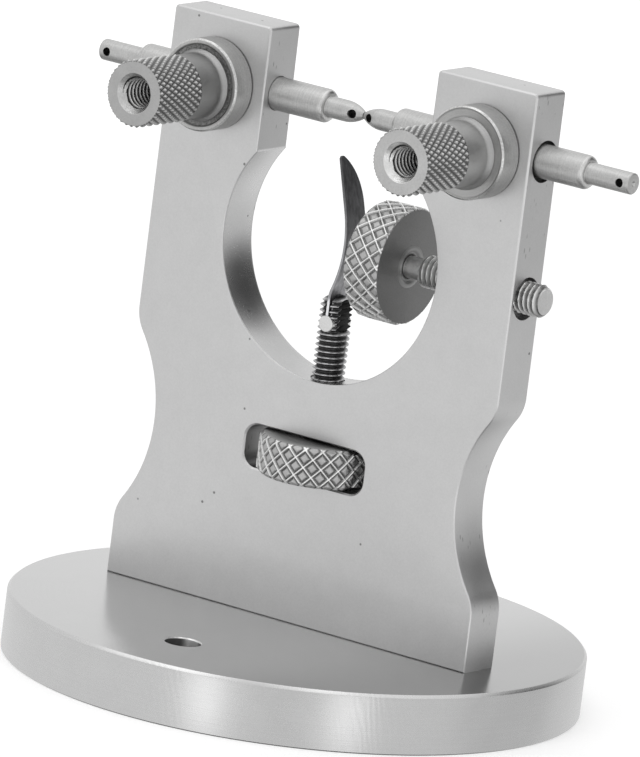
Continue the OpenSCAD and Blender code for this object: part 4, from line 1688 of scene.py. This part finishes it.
@dataclass
class SideAdjuster(SubAssembly):
    """The knurled wheel and its screw through the right arm.

    Attributes:
        wheel: The wheel, whose recess holds the screw's hub.
        neck_r: The radius of the screw's neck and tip.
        tip_x: Where its tip starts.
        hub_r: The hub's radius.
        hub_shade: The painted shade on the hub.
        root_shade: The painted shade in the neck's root in the hub.
        thread_x: Where its thread starts and ends.
    """

    wheel: Wheel = Wheel((5.0, 9.8), radius=7.15, edge=0.25, bore=1.39, faces=(0.87, 0.87),
                         knurl=Knurl(Weave.NET, starts=21, rise=2.12, depth=0.3, land=0.09, floor=0.24,
                                     rest=0.5, root_grime_and_shade=0.85),
                         recess=(2.612, 0.8))
    neck_r: float = 1.35
    tip_x: float = 1.8
    hub_r: float = 2.6
    hub_shade: float = 0.84
    root_shade: float = 1.3
    thread_x: Pair = (12.0, 29.4)

    def screw_skin(self, spin: Spindle) -> Skin:
        """The side screw: a rounded tip, neck and hub turned in one, and a thread with bevelled ends."""
        (near, face), (start, end) = self.wheel.ends, self.thread_x
        hub_in, ring, n = face - self.wheel.recess[1], self.hub_r, self.neck_r
        neck = rounded([(self.tip_x, 0), (self.tip_x, n), (hub_in, n), (hub_in, ring), (face, ring),
                        (face + 0.1, ring - 0.5), (face - 0.16, n + 0.4), (face - 0.16, n),
                        (start + 0.3, n), (start + 0.3, 0)],
                       [0, n * 0.95, 0, 0, 0, 0.6, 0.2, 0.12, 0, 0], 8)
        t, far = neck.T
        # Painted shade on the hub and in the neck's root.
        root = np.where((far > n + 0.02) & (t > near), self.root_shade, 0.0)
        painted_shade = np.where((t > hub_in + 0.1) & (far > n + 0.3), self.hub_shade, root)
        rod = screw_rod(spin, start, end,
                        lambda t: THREAD_R + np.minimum(end - t - 0.45, t - start - 0.3), 80)
        return joined([turned(spin, neck, 80, painted_shade=painted_shade), rod])

    def build(self) -> None:
        """Makes the wheel with its recess, and the screw."""
        spin = Spindle((0, 0, ADJUST_Z), RIGHT, UP)
        wheel = solid("wheel_body", self.wheel.skin(spin), 60)
        self.add(wheel, "side_wheel", Slot.KNURLED, Coat.KNURLED, "adjuster_wheel")
        screw = solid("screw_body", self.screw_skin(spin), 30)
        self.add(screw, "side_screw", Slot.THREAD, Coat.THREAD, "adjuster_screw")


@dataclass(frozen=True)
class Lamp:
    """A soft rectangular lamp: where it stands, its two sides, its power and where it points, in metres."""

    name: str
    place: Point
    size: Pair
    watts: float
    aim: Point = (0.0, 0.0, 0.04)

    def hang(self) -> None:
        """Adds the lamp, unseen by the camera and in gloss."""
        light = bpy.data.lights.new(self.name, "AREA")
        light.shape, light.size, light.size_y, light.energy = "RECTANGLE", *self.size, self.watts
        lamp = placed(self.name, light)
        lamp.location = self.place
        turn = (Vector(self.aim) - Vector(self.place)).to_track_quat("-Z", "Y")
        lamp.rotation_euler = turn.to_euler()
        lamp.visible_camera = lamp.visible_glossy = False


@dataclass(frozen=True)
class Patch:
    """A soft patch of the studio's walls, darker or brighter than the rest, which only gloss shows.

    Attributes:
        azimuth: Its turn to the right of the front, in degrees.
        height: Its angle above the floor, in degrees.
        inner: The angle from its middle within which it has its full depth.
        outer: The angle at which it has faded out.
        gain: How much brighter than the rest it is, or darker where less than 0.
    """

    azimuth: float
    height: float
    inner: float
    outer: float
    gain: float

    def shade(self, graph: Graph, way: Wire) -> Wire:
        """The factor on the world's light in a direction, from the dot product with the patch's own."""
        middle = heading(self.azimuth, self.height)
        near = graph.node("ShaderNodeVectorMath", {"operation": "DOT_PRODUCT"}, {0: way, 1: middle}, "Value")
        low, high = math.cos(math.radians(self.outer)), math.cos(math.radians(self.inner))
        return 1 + self.gain * near.between(low, high)


@dataclass
class Studio:
    """The camera at the photograph's angle, the pale floor, the world and the soft lamps.

    Attributes:
        azimuth: The camera's turn to the right of the front, in degrees.
        height: Its angle above the floor, in degrees.
        roll: How far the picture is turned clockwise, in degrees.
        distance: The camera's distance from its target.
        target: The point that it looks at.
        lens: The focal length for the sensor's height.
        sensor: The sensor's height.
        fill: The world's even light on what isn't glossy.
        floor_r: The floor's radius.
        floor_glow: What the floor adds near the tool for the camera, so that it shows white.
        floor_fade: How far from the tool that starts to rise, and where it has risen to 1.
        gleam: The world's light in gloss.
        patches: The soft patches that gloss shows.
        lamps: The soft lamps.
    """

    azimuth: float = 34.3154
    height: float = 12.0421
    roll: float = 7.1340
    distance: float = 1350.474
    target: Point = (-0.857, -0.382, 36.793)
    lens: float = 538.292
    sensor: float = 36.0
    fill: float = 0.6
    floor_r: float = 1600.0
    floor_glow: float = 0.4
    floor_fade: Pair = (250.0, 900.0)
    gleam: float = 0.87
    patches: tuple[Patch, ...] = (
        Patch(150, 20, 8, 30, -0.94),
        Patch(-146, 12, 8, 30, 0.1),
        Patch(132, -12, 12, 34, -0.16),
        Patch(31, -12, 4, 13, -0.08),
        Patch(2, -12, 3, 10, 1.2),
        Patch(58, -12, 3, 10, 1.2),
        Patch(-70, 54, 3, 9, 0.5),
        Patch(-46, 66, 4, 11, 0.8),
        Patch(0, 71, 4, 12, -0.35),
        Patch(75, 76, 3, 8, 0.8),
        Patch(0, -90, 25, 66, -0.75),
        Patch(0, 90, 15, 55, 0.35),
    )
    lamps: tuple[Lamp, ...] = (
        Lamp("front", (0.0, -1.0, 0.45), (0.35, 0.6), 0.9),
        Lamp("right", (0.86, -0.52, 0.45), (0.35, 0.6), 0.9),
        Lamp("back", (-0.6, 0.85, 0.45), (0.6, 0.5), 1.2),
        Lamp("top", (-0.1, -0.1, 1.2), (0.7, 0.7), 2.5),
    )

    def camera(self) -> None:
        """Places the camera.

        Right = (cos az, sin az, 0) and up = back x right. The roll turns right and up about back, and the
        camera stands at target + back x distance.
        """
        az, roll = math.radians(self.azimuth), math.radians(self.roll)
        back = np.array(heading(self.azimuth, self.height))
        right = np.array([math.cos(az), math.sin(az), 0])
        up = np.cross(back, right)
        x = right * math.cos(roll) + up * math.sin(roll)
        y = up * math.cos(roll) - right * math.sin(roll)
        eye = (np.array(self.target) + back * self.distance) * MM
        data = bpy.data.cameras.new("camera")
        data.sensor_fit, data.sensor_height, data.lens = "VERTICAL", self.sensor, self.lens
        data.clip_start, data.clip_end = 0.01, 20.0
        camera = placed("camera", data)
        camera.matrix_world = Matrix([[*row] for row in np.vstack(
            [np.stack([x, y, back, eye], 1), [0, 0, 0, 1]]).tolist()])
        bpy.context.scene.camera = camera

    def floor(self) -> None:
        """A pale floor that the camera sees as white and that keeps the tool's soft shadow."""
        a = angles(96)[0]
        ring = np.stack([np.cos(a), np.sin(a), 0 * a], -1) * self.floor_r * MM
        mesh = bpy.data.meshes.new("floor")
        mesh.from_pydata(ring.tolist(), [], [list(range(len(ring)))])
        piece = placed("floor", mesh)
        piece.visible_glossy = False
        made = bpy.data.materials.new("pale_floor")
        graph = Graph(made)
        seen = graph.node("ShaderNodeLightPath", {}, {}, "Is Camera Ray")
        far = around(graph, graph.place(), ("X", "Y"), (0, 0)).between(*self.floor_fade)
        strength = seen * (self.floor_glow + (1 - self.floor_glow) * far)
        matt = graph.node("ShaderNodeBsdfDiffuse", {}, {"Color": (0.8, 0.8, 0.8, 1)})
        glow = graph.node("ShaderNodeEmission", {}, {"Color": (1, 1, 1, 1), "Strength": strength})
        graph.end(graph.node("ShaderNodeAddShader", {}, {0: matt, 1: glow}))
        mesh.materials.append(made)

    def world(self) -> None:
        """A world that is white to the camera, with soft patches in gloss.

        In gloss the strength is the gleam times the factor of each patch, which fades from its inner angle
        to its outer one. To anything else the world is an even grey light.
        """
        world = bpy.data.worlds.new("studio")
        bpy.context.scene.world = world
        graph = Graph(world)
        camera, gloss, through = (graph.node("ShaderNodeLightPath", {}, {}, name)
                                  for name in ("Is Camera Ray", "Is Glossy Ray", "Is Transmission Ray"))
        seen = camera.larger(through)
        way = graph.node("ShaderNodeTexCoord", {}, {}, "Generated")
        shown = self.gleam
        for patch in self.patches:
            shown = shown * patch.shade(graph, way)
        strength = seen + (1 - seen) * (gloss * shown + (1 - gloss) * self.fill)
        sky = graph.node("ShaderNodeBackground", {}, {"Color": (1, 1, 1, 1), "Strength": strength})
        graph.end(sky, "ShaderNodeOutputWorld")

    def set_up(self) -> None:
        """Sets up the camera, floor, world and lamps, with the plain view transform."""
        bpy.context.scene.view_settings.view_transform = "Standard"
        self.camera()
        self.floor()
        self.world()
        for lamp in self.lamps:
            lamp.hang()


def main() -> None:
    """Builds the studio and the sub-assemblies in order."""
    logging.basicConfig(level=logging.INFO, format="%(name)s: %(message)s")
    Studio().set_up()
    materials = {finish.coat: finish.material() for finish in FINISHES}
    parts = (
        Base(),
        Upright(),
        Runner(side=Side.LEFT, nose_x=0.55),
        Runner(side=Side.RIGHT, nose_x=0.65),
        Clamp(side=Side.LEFT),
        Clamp(side=Side.RIGHT, dish=(5.3, 6.22, 0.12), neck_shade=0.55, face_shade=0.42, cone_shade=0.08),
        HeightGauge(),
        SideAdjuster(),
    )
    for part in parts:
        part.build()
        part.dress(materials)


if __name__ == "__main__":
    main()
